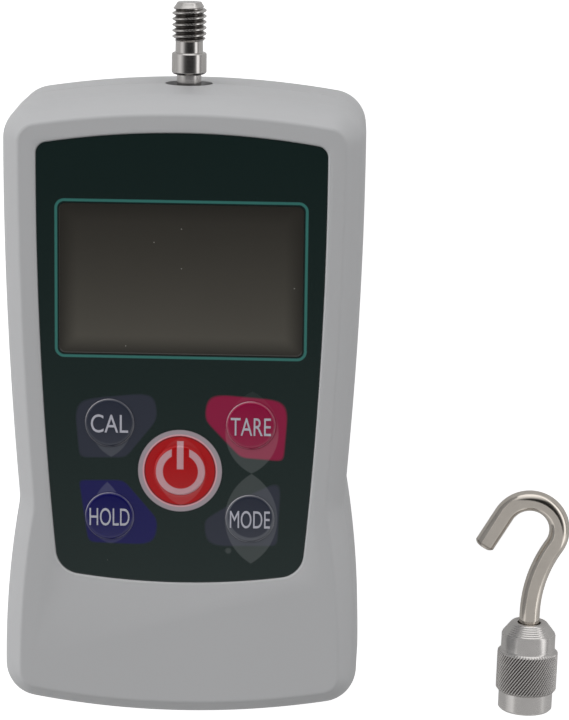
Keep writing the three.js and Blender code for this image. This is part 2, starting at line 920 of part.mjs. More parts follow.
function chargeSocketPiece() {
  const { y, width, height, boreRadius, boreDepth, pinRadius } = chargeSocket;
  const middleZ = boardUnderZ - height / 2;
  const body = block(
    [socketFaceX, y - width / 2, boardUnderZ - height],
    [socketFaceX + chargeSocket.depth, y + width / 2, boardUnderZ],
  );
  const boreEndX = socketFaceX + boreDepth;
  const bore = rodAlongX(boreRadius, socketFaceX - overrun, boreEndX, y, middleZ);
  const pin = rodAlongX(pinRadius, socketFaceX + gap, boreEndX + gap, y, middleZ, facets.small);
  return join(cut(body, bore), pin);
}

function chargeSocketHole() {
  const middleZ = boardUnderZ - chargeSocket.height / 2;
  return rodAlongX(chargeSocket.wallHoleRadius, outsideX, socketFaceX, chargeSocket.y, middleZ);
}

function loadCell() {
  const middleY = (cell.topY + cell.bottomY) / 2;
  const beam = block(
    [-cell.halfWidth, cell.bottomY, cellUnderZ],
    [cell.halfWidth, cell.topY, cellTopZ],
  );
  const below = cellUnderZ - overrun;
  const above = cellTopZ + overrun;
  const halfSlot = cell.slotWidth / 2;
  const upperSlot = block(
    [-cell.halfWidth - overrun, cell.upperSlotY - halfSlot, below],
    [cell.slotReach - cell.halfWidth, cell.upperSlotY + halfSlot, above],
  );
  const lowerSlot = block(
    [cell.halfWidth - cell.slotReach, cell.lowerSlotY - halfSlot, below],
    [cell.halfWidth + overrun, cell.lowerSlotY + halfSlot, above],
  );
  const holes = [-1, 1].map((side) => {
    return rod(cell.holeRadius, below, above, side * cell.holeSpread, middleY);
  });
  const shaftBore = rodAlongY(
    shaft.tailRadius + gap,
    cell.topY - cell.boreDepth,
    cell.topY + overrun,
    0,
    housing.partingHeight,
  );
  const screwEndY = cell.bottomY - loadFrame.blockLength + cellScrew.length;
  const screwBores = [-1, 1].map((side) => rodAlongY(
    cellScrew.radius + gap,
    cell.bottomY - overrun,
    screwEndY + 2 * gap,
    side * cell.screwSpread,
    housing.partingHeight,
    facets.small,
  ));
  return cut(beam, upperSlot, lowerSlot, ...holes, shaftBore, ...screwBores);
}

// A foil gauge on the cell's upper face, beside the middle holes
function foilGauge(side) {
  const offset = cell.holeRadius + strainGauge.width / 2 + gap;
  const middleY = (cell.topY + cell.bottomY) / 2 + side * offset;
  return block(
    [-strainGauge.length / 2, middleY - strainGauge.width / 2, cellTopZ],
    [strainGauge.length / 2, middleY + strainGauge.width / 2, cellTopZ + strainGauge.thickness],
  );
}

function loadFramePiece() {
  const blockFrontY = cell.bottomY - loadFrame.blockLength;
  const plate = block(
    [-loadFrame.plateHalfWidth, loadFrame.plateBottomY, shell.floor],
    [loadFrame.plateHalfWidth, loadFrame.plateTopY, frameTopZ],
  );
  const anchor = block(
    [-loadFrame.blockHalfWidth, blockFrontY, shell.floor],
    [loadFrame.blockHalfWidth, cell.bottomY, cellTopZ],
  );
  const insertHoles = insertPlaces.map(({ x, y }) => {
    return rod(insert.radius + gap, 0, frameTopZ + overrun, x, y);
  });
  const screwBores = [-1, 1].map((side) => rodAlongY(
    cellScrew.radius + gap,
    blockFrontY - overrun,
    cell.bottomY + overrun,
    side * cell.screwSpread,
    housing.partingHeight,
    facets.small,
  ));
  return cut(join(plate, anchor), ...insertHoles, ...screwBores);
}

// A socket screw along +Y, with a six-sided socket in its head
function cellScrewPiece(side) {
  const seatY = cell.bottomY - loadFrame.blockLength;
  const headY = seatY - cellScrew.headHeight;
  const x = side * cell.screwSpread;
  const body = turnedAlongY([
    [cellScrew.headRadius, headY],
    [cellScrew.headRadius, seatY],
    [cellScrew.radius, seatY],
    [cellScrew.radius, seatY + cellScrew.length],
  ], x, housing.partingHeight, facets.small);
  const fromY = headY - overrun;
  const toY = headY + cellScrew.socketDepth;
  const z = housing.partingHeight;
  return cut(body, rodAlongY(cellScrew.socketRadius, fromY, toY, x, z, facets.hexagon));
}

function standInsert({ x, y }) {
  const topZ = frameTopZ + insert.flangeThickness;
  const body = turned([
    [insert.radius, 0],
    [insert.radius, frameTopZ],
    [insert.flangeRadius, frameTopZ],
    [insert.flangeRadius, topZ],
  ], x, y);
  return cut(body, rod(insert.boreRadius, -overrun, topZ + overrun, x, y, facets.small));
}

function batteryTray() {
  const topY = upperCellY + battery.radius;
  const bottomY = lowerCellY - battery.radius;
  const endTopY = trayEndBottomY + battery.trayEndLength;
  const floorPlate = block(
    [-battery.length / 2, bottomY, shell.floor],
    [battery.length / 2, topY, trayFloorZ],
  );
  const wings = block(
    [-trayOuterX, trayEndBottomY, shell.floor],
    [trayOuterX, endTopY, trayFloorZ],
  );
  const walls = [-1, 1].map((side) => {
    const near = side * trayWallInnerX;
    const far = side * trayOuterX;
    return block(
      [Math.min(near, far), trayEndBottomY, shell.floor],
      [Math.max(near, far), endTopY, shell.floor + battery.trayWallHeight],
    );
  });
  return join(floorPlate, wings, ...walls);
}

function batteryCell(y) {
  const end = battery.length / 2;
  const can = rodAlongX(battery.radius, -end, end - battery.capHeight, y, batteryZ);
  return join(can, rodAlongX(battery.capRadius, -end, end, y, batteryZ, facets.small));
}

function batteryContact(side) {
  const near = side * contactInnerX;
  const far = side * (contactInnerX + battery.contactThickness);
  const middleY = (upperCellY + lowerCellY) / 2;
  return block(
    [Math.min(near, far), middleY - battery.contactLength / 2, batteryZ - battery.contactHeight / 2],
    [Math.max(near, far), middleY + battery.contactLength / 2, batteryZ + battery.contactHeight / 2],
  );
}

// A flat ribbon that rises from the cell's upper face to the side of its connector
function sensorRibbon() {
  const plug = underBoard.cell_connector;
  const lowZ = cellTopZ + strainGauge.thickness + gap;
  const highZ = boardUnderZ - plug.height / 2;
  const endX = plug.x - plug.length / 2 - gap;
  const section = [
    [ribbon.startX, lowZ],
    [ribbon.bendX, lowZ],
    [endX, highZ],
    [endX, highZ + ribbon.thickness],
    [ribbon.bendX, lowZ + ribbon.thickness],
    [ribbon.startX, lowZ + ribbon.thickness],
  ].map(([x, z]) => new THREE.Vector2(x, z));
  const extrusion = { depth: ribbon.width, bevelEnabled: false };
  const geometry = new THREE.ExtrudeGeometry(new THREE.Shape(section), extrusion);
  return solid(geometry.rotateX(Math.PI / 2).translate(0, ribbon.y + ribbon.width / 2, 0));
}

function circleShape(radius, sides) {
  const points = Array.from({ length: sides }, (_, index) => {
    const angle = (2 * Math.PI * index) / sides;
    return new THREE.Vector2(radius * Math.cos(angle), radius * Math.sin(angle));
  });
  return new THREE.Shape(points);
}

function tubeAlong(path, radius, steps, sides) {
  return solid(new THREE.ExtrudeGeometry(circleShape(radius, sides), { steps, extrudePath: path }));
}

// The lead from the top of the tray's left end wall to the battery connector
function batteryLead() {
  const plug = underBoard.battery_connector;
  const startX = -(trayWallInnerX + lead.startInset);
  const startY = trayEndBottomY + battery.trayEndLength - lead.radius;
  const startZ = shell.floor + battery.trayWallHeight + gap;
  const plugY = plug.y - plug.width / 2 - gap;
  const plugZ = boardUnderZ - plug.height / 2;
  const path = new THREE.CubicBezierCurve3(
    new THREE.Vector3(startX, startY, startZ),
    new THREE.Vector3(startX, startY, plugZ),
    new THREE.Vector3(plug.x, startY, plugZ),
    new THREE.Vector3(plug.x, plugY, plugZ),
  );
  return tubeAlong(path, lead.radius, facets.leadSteps, facets.wire / 2);
}

// A rod with an outside thread about +Y. The thread's profile climbs one pitch per turn.
function threadedRod(fromY, toY) {
  const { threadRadius, threadRootRadius, threadPitch } = shaft;
  const turnShares = [
    [0.05, threadRootRadius],
    [0.4, threadRadius],
    [0.55, threadRadius],
    [0.9, threadRootRadius],
  ];
  const columns = facets.medium;
  const turns = Math.ceil((toY - fromY) / threadPitch) + 1;
  const column = [];
  for (let turn = -1; turn < turns; turn += 1) {
    turnShares.forEach(([share, radius]) => {
      column.push([radius, fromY + (turn + share) * threadPitch]);
    });
  }
  const count = column.length;
  const positions = [];
  for (let step = 0; step < columns; step += 1) {
    const angle = (2 * Math.PI * step) / columns;
    column.forEach(([radius, y]) => {
      const climb = (threadPitch * step) / columns;
      positions.push(radius * Math.sin(angle), y + climb, radius * Math.cos(angle));
    });
  }
  const startAxis = columns * count;
  positions.push(0, column[0][1], 0, 0, column[count - 1][1] + threadPitch, 0);
  const faces = [];
  const profileSize = turnShares.length;
  for (let step = 0; step < columns; step += 1) {
    const wraps = step === columns - 1;
    const here = step * count;
    const beside = wraps ? profileSize : here + count;
    const rows = wraps ? count - profileSize : count;
    for (let row = 0; row < rows - 1; row += 1) {
      const a = here + row;
      const b = beside + row;
      faces.push(a, b, b + 1, a, b + 1, a + 1);
    }
    faces.push(startAxis, beside, here);
    faces.push(startAxis + 1, here + rows - 1, beside + rows - 1);
  }
  for (let row = 0; row < profileSize; row += 1) {
    const last = (columns - 1) * count + count - profileSize - 1 + row;
    faces.push(startAxis, row, row + 1);
    faces.push(startAxis + 1, last + 1, last);
  }
  const geometry = new THREE.BufferGeometry();
  geometry.setAttribute('position', new THREE.Float32BufferAttribute(positions, 3));
  geometry.setIndex(faces);
  return solid(geometry);
}

function measuringShaft() {
  const shoulderY = cell.topY + gap + gap / 4;
  const neckY = shoulderY + shaft.shoulderLength;
  const collarY = shaftEndY + shaft.collarLift;
  const collarTopY = collarY + shaft.collarLength;
  const threadY = collarTopY + shaft.reliefLength;
  const tipY = threadY + shaft.threadLength;
  const z = housing.partingHeight;
  const body = turnedAlongY([
    [shaft.tailRadius, shoulderY - shaft.tailLength],
    [shaft.tailRadius, shoulderY],
    [shaft.shoulderRadius, shoulderY],
    [shaft.shoulderRadius, neckY],
    [shaft.neckRadius, neckY],
    [shaft.neckRadius, collarY],
    [shaft.collarRadius - shaft.collarChamfer, collarY],
    [shaft.collarRadius, collarY + shaft.collarChamfer],
    [shaft.collarRadius, collarTopY - shaft.collarChamfer],
    [shaft.collarRadius - shaft.collarChamfer, collarTopY],
    [shaft.reliefRadius, collarTopY],
    [shaft.reliefRadius, threadY + shaft.threadPitch],
  ], 0, z);
  const tipRadius = shaft.threadRadius - shaft.tipChamfer;
  const envelope = turnedAlongY([
    [shaft.threadRadius - shaft.collarChamfer, threadY],
    [shaft.threadRadius + gap, threadY + shaft.collarChamfer + gap],
    [shaft.threadRadius + gap, tipY - shaft.tipChamfer - gap],
    [tipRadius, tipY],
  ], 0, 0);
  const stud = threadedRod(threadY, tipY).intersect(envelope);
  return join(body, stud.translate([0, 0, z]));
}

// The hook adapter is drawn standing on its foot along +Y, then laid down beside the gauge
function coupling() {
  const { plainRadius, knurlRadius, knurlStart, knurlEnd, chamfer } = adapter;
  const outside = turnedAlongY([
    [plainRadius - chamfer, 0],
    [plainRadius, chamfer],
    [plainRadius, knurlStart],
    [knurlRadius - chamfer, knurlStart],
    [knurlRadius, knurlStart + chamfer],
    [knurlRadius, knurlEnd - chamfer],
    [knurlRadius - chamfer, knurlEnd],
    [plainRadius, knurlEnd],
    [plainRadius, adapter.coneStart],
    [adapter.mouthRadius, adapter.length],
  ], 0, 0, facets.large);
  const bore = turnedAlongY([
    [adapter.boreRadius + chamfer, -overrun],
    [adapter.boreRadius + chamfer, 0],
    [adapter.boreRadius, chamfer],
    [adapter.boreRadius, adapter.boreDepth],
    [hook.wireRadius + gap, adapter.boreDepth],
    [hook.wireRadius + gap, adapter.length + overrun],
  ], 0, 0);
  return cut(outside, bore);
}

// The wire's middle line: straight up, a gentle bend to the right, the bowl and a straight tip
class HookLine extends THREE.Curve {
  constructor(startY) {
    super();
    this.startY = startY;
    this.neckAngle = THREE.MathUtils.degToRad(hook.neckBendAngle);
    this.bowlSweep = this.neckAngle + THREE.MathUtils.degToRad(hook.bowlAngle);
    this.runs = [
      hook.straightEnd - startY,
      hook.neckBendRadius * this.neckAngle,
      hook.bowlRadius * this.bowlSweep,
      hook.tipLength,
    ];
    this.total = this.runs.reduce((sum, run) => sum + run, 0);
    const reach = hook.neckBendRadius + hook.bowlRadius;
    this.bowlCentre = new THREE.Vector3(
      hook.neckBendRadius - reach * Math.cos(this.neckAngle),
      hook.straightEnd + reach * Math.sin(this.neckAngle),
      0,
    );
  }

  bowlPoint(angle) {
    const arm = new THREE.Vector3(Math.cos(angle), Math.sin(angle), 0);
    return arm.multiplyScalar(hook.bowlRadius).add(this.bowlCentre);
  }

  getPoint(share, target = new THREE.Vector3()) {
    const [shank, neck, bowl] = this.runs;
    let along = share * this.total;
    if (along < shank) return target.set(0, this.startY + along, 0);
    along -= shank;
    if (along < neck) {
      const angle = along / hook.neckBendRadius;
      const x = hook.neckBendRadius * (1 - Math.cos(angle));
      return target.set(x, hook.straightEnd + hook.neckBendRadius * Math.sin(angle), 0);
    }
    along -= neck;
    if (along < bowl) return target.copy(this.bowlPoint(along / hook.bowlRadius - this.neckAngle));
    along -= bowl;
    const endAngle = this.bowlSweep - this.neckAngle;
    const heading = new THREE.Vector3(-Math.sin(endAngle), Math.cos(endAngle), 0);
    return target.copy(this.bowlPoint(endAngle)).addScaledVector(heading, along);
  }
}

function hookWire() {
  const headTopY = adapter.boreDepth - gap;
  const wire = tubeAlong(new HookLine(headTopY - gap), hook.wireRadius, facets.hookSteps, facets.wire);
  const head = rodAlongY(hook.headRadius, headTopY - hook.headLength, headTopY, 0, 0);
  return join(wire, head);
}

addPiece('rear_shell', rearShell(), surfaces.shellPlastic);
addPiece('front_shell', frontShell(), surfaces.shellPlastic);
addPiece('panel_overlay', panelOverlay(), surfaces.panelFilm);
addPiece('display_window', displayWindow(), surfaces.clearPlastic);
addPiece('display_gasket', displayGasket(), surfaces.foam);
addPiece('display_glass', displayGlass(), surfaces.glass);
addPiece('light_guide', lightGuide(), surfaces.guide);
addPiece('contact_strip_upper', contactStrip(1), surfaces.rubber);
addPiece('contact_strip_lower', contactStrip(-1), surfaces.rubber);
addPiece('main_board', mainBoard(), surfaces.boardGreen);
Object.entries(underBoard).forEach(([name, place]) => {
  const surface = name.endsWith('connector') ? surfaces.connectorWhite : surfaces.chipBlack;
  addPiece(name, boardPart(place), name === 'crystal' ? surfaces.nickel : surface);
});
addPiece('buzzer', buzzerCan(), surfaces.chipBlack);
addPiece('data_socket', dataSocketPiece(), surfaces.nickel);
addPiece('charge_socket', chargeSocketPiece(), surfaces.chipBlack);
keyPlaces.forEach((place) => {
  addPiece(place.name, keyCap(place), place.surface);
  addPiece(place.name.replace('key', 'snap_dome'), snapDome(place), surfaces.nickel);
});
addPiece('load_cell', loadCell(), surfaces.aluminium);
addPiece('strain_gauge_upper', foilGauge(1), surfaces.foil);
addPiece('strain_gauge_lower', foilGauge(-1), surfaces.foil);
addPiece('load_frame', loadFramePiece(), surfaces.steel);
addPiece('cell_screw_right', cellScrewPiece(1), surfaces.steel);
addPiece('cell_screw_left', cellScrewPiece(-1), surfaces.steel);
insertPlaces.forEach((place) => {
  addPiece(`stand_insert_${place.name}`, standInsert(place), surfaces.brass);
});
casePosts.forEach((place) => {
  addPiece(`case_screw_${place.name}`, caseScrew(place), surfaces.steel);
});
boardPosts.forEach((place) => {
  addPiece(`board_screw_${place.name}`, boardScrew(place), surfaces.steel);
});
addPiece('battery_tray', batteryTray(), surfaces.trayBlack);
addPiece('battery_cell_upper', batteryCell(upperCellY), surfaces.batteryGreen);
addPiece('battery_cell_lower', batteryCell(lowerCellY), surfaces.batteryGreen);
addPiece('battery_contact_right', batteryContact(1), surfaces.nickel);
addPiece('battery_contact_left', batteryContact(-1), surfaces.nickel);
addPiece('sensor_ribbon', sensorRibbon(), surfaces.ribbonGrey);
addPiece('battery_lead', batteryLead(), surfaces.wireRed);
addPiece('measuring_shaft', measuringShaft(), surfaces.steel);

const adapterGroup = new THREE.Group();
adapterGroup.position.set(adapter.x, adapter.y, adapter.knurlRadius);
adapterGroup.rotation.z = -THREE.MathUtils.degToRad(adapter.lean);
gauge.add(adapterGroup);
addPiece('hook', hookWire(), surfaces.steel, adapterGroup);
addPiece('hook_coupling', coupling(), surfaces.steel, adapterGroup);

export default gauge;
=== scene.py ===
import functools
import math
import bmesh
import bpy
import numpy as np
from mathutils import Matrix, Vector


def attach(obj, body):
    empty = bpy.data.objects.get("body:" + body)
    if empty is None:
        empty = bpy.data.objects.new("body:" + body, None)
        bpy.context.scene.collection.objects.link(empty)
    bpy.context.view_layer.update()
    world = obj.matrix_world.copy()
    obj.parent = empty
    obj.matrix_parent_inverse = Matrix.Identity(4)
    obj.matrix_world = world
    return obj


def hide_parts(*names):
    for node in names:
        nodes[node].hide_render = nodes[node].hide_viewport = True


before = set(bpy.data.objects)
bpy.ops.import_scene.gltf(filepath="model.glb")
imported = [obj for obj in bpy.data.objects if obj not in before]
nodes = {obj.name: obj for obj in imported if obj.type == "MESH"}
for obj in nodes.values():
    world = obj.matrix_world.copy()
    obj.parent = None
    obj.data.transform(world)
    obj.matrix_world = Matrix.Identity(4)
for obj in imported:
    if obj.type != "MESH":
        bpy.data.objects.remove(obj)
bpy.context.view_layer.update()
mm = 0.001  # sizes below are in millimetres, meshes in metres
past = 1  # how far a cutting tool runs past what it cuts
smooth = 96  # points round a hole, a cap or a shaft that shows
shaftZ = 13.0  # height of the shaft's middle line, where the housing is parted too
adapterPlace = (61.7, -60.2, 5.5)  # where the middle of the hook adapter's foot lies beside the gauge
adapterLean = 1.3  # how far the adapter leans toward +X, in degrees
print("frame loaded,", len(nodes), "nodes")


def newObject(name, data):
    item = bpy.data.objects.new(name, data)
    bpy.context.collection.objects.link(item)
    return item


# Camera at the photo's angle: a little to the right of square and above the middle
camera = {
    "aim": (17.71, 9.79, 32),  # what stands in the middle of the picture
    "towardRight": 0.0292567,  # angles in radians
    "towardTop": 0.212028,
    "roll": 0.0126765,
    "distance": 508.97,
    "lens": 149.7,
    "sensor": 36,
    "nearest": 10,
}


def makeCamera():
    # Back points from the aim to the eye by both angles, right and up are square to it and turned by the
    # roll, and the eye stands at the aim plus back times the distance
    across, along, roll = camera["towardRight"], camera["towardTop"], camera["roll"]
    back = Vector((math.sin(across), math.sin(along) * math.cos(across), math.cos(along) * math.cos(across)))
    level = Vector((0, 1, 0)).cross(back).normalized()
    upright = back.cross(level)
    right = level * math.cos(roll) + upright * math.sin(roll)
    up = upright * math.cos(roll) - level * math.sin(roll)
    data = bpy.data.cameras.new("photoCamera")
    data.lens = camera["lens"]
    data.sensor_width = camera["sensor"]
    data.clip_start = camera["nearest"] * mm
    item = newObject("photoCamera", data)
    eye = Vector(camera["aim"]) * mm + back * camera["distance"] * mm
    item.matrix_world = Matrix.Translation(eye) @ Matrix((right, up, back)).transposed().to_4x4()
    bpy.context.scene.camera = item


makeCamera()
bpy.context.scene.view_settings.view_transform = "Standard"


def shade(red, green, blue):
    # A colour as written in a paint program, 0 to 255, turned into scene values by the screen's curve
    value = np.array([red, green, blue]) / 255
    value = np.where(value <= 0.04045, value / 12.92, ((value + 0.055) / 1.055) ** 2.4)
    return (*value.tolist(), 1.0)


# Node graphs


def feed(node, feeds):
    # Links each input that is given a socket, and sets each that is given a value
    for key, value in feeds.items():
        if isinstance(value, bpy.types.NodeSocket):
            node.id_data.links.new(value, node.inputs[key])
        else:
            node.inputs[key].default_value = value


def add(kind, feeds, **settings):
    # A new node in the tree of the sockets that feed it
    tree = next(value.id_data for value in feeds.values() if isinstance(value, bpy.types.NodeSocket))
    node = tree.nodes.new(kind)
    for key, value in settings.items():
        setattr(node, key, value)
    feed(node, feeds)
    return node


def calc(operation, first, second=0.0, third=0.0, clamp=False):
    feeds = {0: first, 1: second, 2: third}
    return add("ShaderNodeMath", feeds, operation=operation, use_clamp=clamp).outputs[0]


def times(first, second):
    return calc("MULTIPLY", first, second)


def minus(first, second, clamp=False):
    return calc("SUBTRACT", first, second, clamp=clamp)


def larger(first, second):
    return calc("MAXIMUM", first, second)


def sloped(value, slope, start, clamp=False):
    # The value times a slope, from a start
    return calc("MULTIPLY_ADD", value, slope, start, clamp)


def ranged(value, start, end, low, high):
    # Low where the value is at the start, high where it is at the end
    feeds = {"Value": value, "From Min": start, "From Max": end, "To Min": low, "To Max": high}
    return add("ShaderNodeMapRange", feeds).outputs[0]


def vectorCalc(operation, first, second=(0, 0, 0)):
    # A vector, or a number where the operation gives one
    number = operation in ("LENGTH", "DISTANCE", "DOT_PRODUCT")
    return add("ShaderNodeVectorMath", {0: first, 1: second}, operation=operation).outputs[int(number)]


def axes(vector):
    return add("ShaderNodeSeparateXYZ", {0: vector}).outputs


def mixValue(factor, first, second):
    return add("ShaderNodeMix", {0: factor, 2: first, 3: second}).outputs[0]


def mixColour(factor, first, second):
    return add("ShaderNodeMix", {0: factor, 6: first, 7: second}, data_type="RGBA").outputs[2]


def noise(vector, scale, detail):
    return add("ShaderNodeTexNoise", {"Vector": vector, "Scale": scale, "Detail": detail}).outputs[0]


def bump(height, depth):
    return add("ShaderNodeBump", {"Strength": 1.0, "Distance": depth, "Height": height}).outputs[0]


def fromFront(where):
    # A place on the front, across and up, in millimetres
    return vectorCalc("MULTIPLY", where, (1 / mm, 1 / mm, 0))


def fromCentre(point, centre):
    # How far a point lies from a centre, across and up
    return vectorCalc("ABSOLUTE", vectorCalc("SUBTRACT", point, (*centre, 0)))


def effect(name, inputs, outputs):
    # A node group with named sockets: Vector, then the inputs by their defaults, and outputs by kind
    tree = bpy.data.node_groups.new(name, "ShaderNodeTree")
    for title, value in {"Vector": (0, 0, 0), **inputs}.items():
        kind = "Float" if isinstance(value, float) else {3: "Vector", 4: "Color"}[len(value)]
        socket = tree.interface.new_socket(title, in_out="INPUT", socket_type="NodeSocket" + kind)
        socket.default_value = value
    for title, kind in outputs.items():
        tree.interface.new_socket(title, in_out="OUTPUT", socket_type="NodeSocket" + kind)
    return tree, tree.nodes.new("NodeGroupInput").outputs, tree.nodes.new("NodeGroupOutput")


def grainEffect():
    # Fine uneven surface: noise at one scale and its bump
    tree, given, result = effect(
        "surfaceGrain",
        {"Scale": 3000.0, "Depth": 0.00001},
        {"Mask": "Float", "Normal": "Vector"},
    )
    mask = noise(given["Vector"], given["Scale"], 3.0)
    feed(result, {"Mask": mask, "Normal": bump(mask, given["Depth"])})
    return tree


def mottleEffect():
    # Colour that drifts lighter and darker by a share of itself
    tree, given, result = effect(
        "colourDrift",
        {"Color": (1, 1, 1, 1), "Scale": 60.0, "Amount": 0.05},
        {"Color": "Color"},
    )
    offset = minus(noise(given["Vector"], given["Scale"], 4.0), 0.5)
    factor = sloped(offset, times(given["Amount"], 2.0), 1.0)
    feed(result, {"Color": vectorCalc("MULTIPLY", given["Color"], factor)})
    return tree


def turnedEffect():
    # Lathe marks: noise that changes only along the axis of the work, and a little of a wider one
    tree, given, result = effect(
        "latheMarks",
        {"Axis": (0, 1, 0), "Scale": 5000.0, "Depth": 0.000004},
        {"Mask": "Float", "Normal": "Vector"},
    )
    along = vectorCalc("DOT_PRODUCT", given["Vector"], given["Axis"])
    marks = noise(add("ShaderNodeCombineXYZ", {0: along}).outputs[0], given["Scale"], 2.0)
    wideScale, wideShare = 400.0, 0.25
    mask = sloped(noise(given["Vector"], wideScale, 2.0), wideShare, marks)
    feed(result, {"Mask": mask, "Normal": bump(mask, given["Depth"])})
    return tree


def speckEffect():
    # Rare dust specks: the nearest points of a scattered set, most of them left out
    tree, given, result = effect(
        "dustSpecks",
        {"Scale": 260.0, "Share": 0.06, "Size": 0.02},
        {"Mask": "Float"},
    )
    feeds = {"Vector": given["Vector"], "Scale": given["Scale"]}
    cells = add("ShaderNodeTexVoronoi", feeds, voronoi_dimensions="2D").outputs
    near = calc("LESS_THAN", cells["Distance"], given["Size"])
    chance = add("ShaderNodeSeparateColor", {0: cells["Color"]}).outputs[0]
    feed(result, {"Mask": times(near, calc("LESS_THAN", chance, given["Share"]))})
    return tree


def grooveShadeEffect():
    # Painted shade in the grooves of a turned part about +Y: from 1 at the inner radius to 0 at the outer
    # one, and 0 past both ends
    tree, given, result = effect(
        "grooveDirt",
        {"Inner": 0.0024, "Outer": 0.0029, "From": 0.0, "To": 0.01},
        {"Mask": "Float"},
    )
    radius = vectorCalc("LENGTH", vectorCalc("MULTIPLY", given["Vector"], (1, 0, 1)))
    height = axes(given["Vector"])[1]
    depth = ranged(radius, given["Inner"], given["Outer"], 1.0, 0.0)
    within = times(calc("GREATER_THAN", height, given["From"]), calc("LESS_THAN", height, given["To"]))
    feed(result, {"Mask": times(depth, within)})
    return tree


# Print on the film and the keys, in millimetres seen from the front
panelPrint = {
    "inks": {
        "Film": shade(14, 32, 30), "Grey": shade(43, 47, 60), "Crimson": shade(139, 14, 60),
        "Blue": shade(14, 12, 81), "Red": shade(171, 6, 13), "Pale": shade(160, 148, 155),
        "Pink": shade(214, 160, 168), "Shadow": shade(116, 10, 18), "Sign": shade(194, 150, 157),
        "Line": shade(52, 112, 105), "White": shade(205, 200, 205), "Pocket": (0.045, 0.047, 0.048, 1),
    },
    "blur": 0.07,
    "line": {"centre": (0, 23.23), "half": (21.22, 13.43), "corner": 1.4, "width": 0.46},
    # ink, sides from corner to corner, then the rounding where each side meets the ones before it
    "patches": [
        ("Grey", [(-18.11, 1.29, -17.34, -7.05), (-16.42, -7.98, -9.84, -7.84), (-8.79, -7.14, -4.86, -2.21),
                  (-4.02, -1, -4.02, 1), (-17.45, 2.16, -6.97, 3.34)], [1.9, 1.2, 1.4, 5.2]),
        ("Grey", [(17.28, -12.56, 16.87, -21.82), (15.83, -23.08, 7.38, -23.26), (4.31, -19.5, 4.31, -20.5),
                  (4.7, -18.26, 8.37, -15.46), (8.37, -15.46, 16.23, -12.04)], [1.9, 5, 1.2, 3.2]),
        ("Crimson", [(18.42, 1.35, 17.79, -7.14), (16.7, -7.92, 9.61, -7.44), (7.22, -4.12, 4.71, -1.48),
                     (4.31, -0.5, 4.31, 0.5), (6.9, 3.4, 17.1, 2.66)], [1.9, 1.2, 1.4, 5.2]),
        ("Blue", [(-17.22, -13.01, -15.91, -21.98), (-14.32, -23.04, -6.91, -23.21),
                  (-3.95, -20, -3.95, -20.5), (-4.81, -17.65, -8.91, -12.84),
                  (-9.83, -11.9, -16.29, -12.04)], [1.9, 5, 1.2, 1.4]),
    ],
    "patchBlur": 0.18,
    "disc": ("Grey", 12.1, -18.3, 4.3),
    # discs of the power key from the largest, then its sign: middle, outer and inner radius of the ring,
    # half of the gap at its top, and the bar's middle, half width and half height
    "power": {
        "centre": (0, -10.05), "discs": [("Pale", 7.2), ("Pink", 6.42), ("Shadow", 6.16), ("Red", 5.94)],
        "ring": (0.08, -10.15, 4.2, 3.03), "gap": 1.5, "bar": (0.04, -7.27, 0.56, 2.45),
    },
    # pockets of trapped air under the film: middle, half width, half height, the dome they surround,
    # strength at the top, at the bottom and along the edge
    "pockets": [
        (12.3, -3.12, 4.54, 7.16, 12.2, -1.7, 4.35, 0.25, 1.0, 0.4),
        (12.3, -18.33, 4.5, 7.97, 12.2, -17.9, 3.7, 1.0, 1.0, 0.3),
        (-11.85, -1.8, 3.65, 6.0, -12.1, -1.8, 4.3, 0.0, 0.9, 0.0),
        (-12.5, -18.2, 2.7, 5.9, -12.1, -18.3, 4.3, 1.0, 0.0, 0.0),
        (-11.9, -18.4, 3.9, 4.8, -12.1, -18.3, 4.2, 0.0, 0.6, 0.0),
        (0.2, -10.15, 4.2, 6.0, 0.08, -10.15, 4.3, 0.3, 0.75, 0.0),
    ],
    "pocketEdge": 0.04, "pocketBlur": 0.09, "pocketFade": 0.25,
    "dot": (8.4, -24.1, 0.5), "dotBlur": 0.15, "dotStrength": 0.8,
    # a pale ring round each dome: the film whitened where it is stretched, all round at the least share, and
    # a painted highlight growing toward its upper left
    "domes": [(-12.1, -1.8), (12.1, -1.8), (-12.1, -18.3), (12.1, -18.3)],
    "stretch": {"radius": 4.15, "half": 0.02, "toward": (-0.26, 0.3, 0), "from": 0.75, "least": 0.16},
}


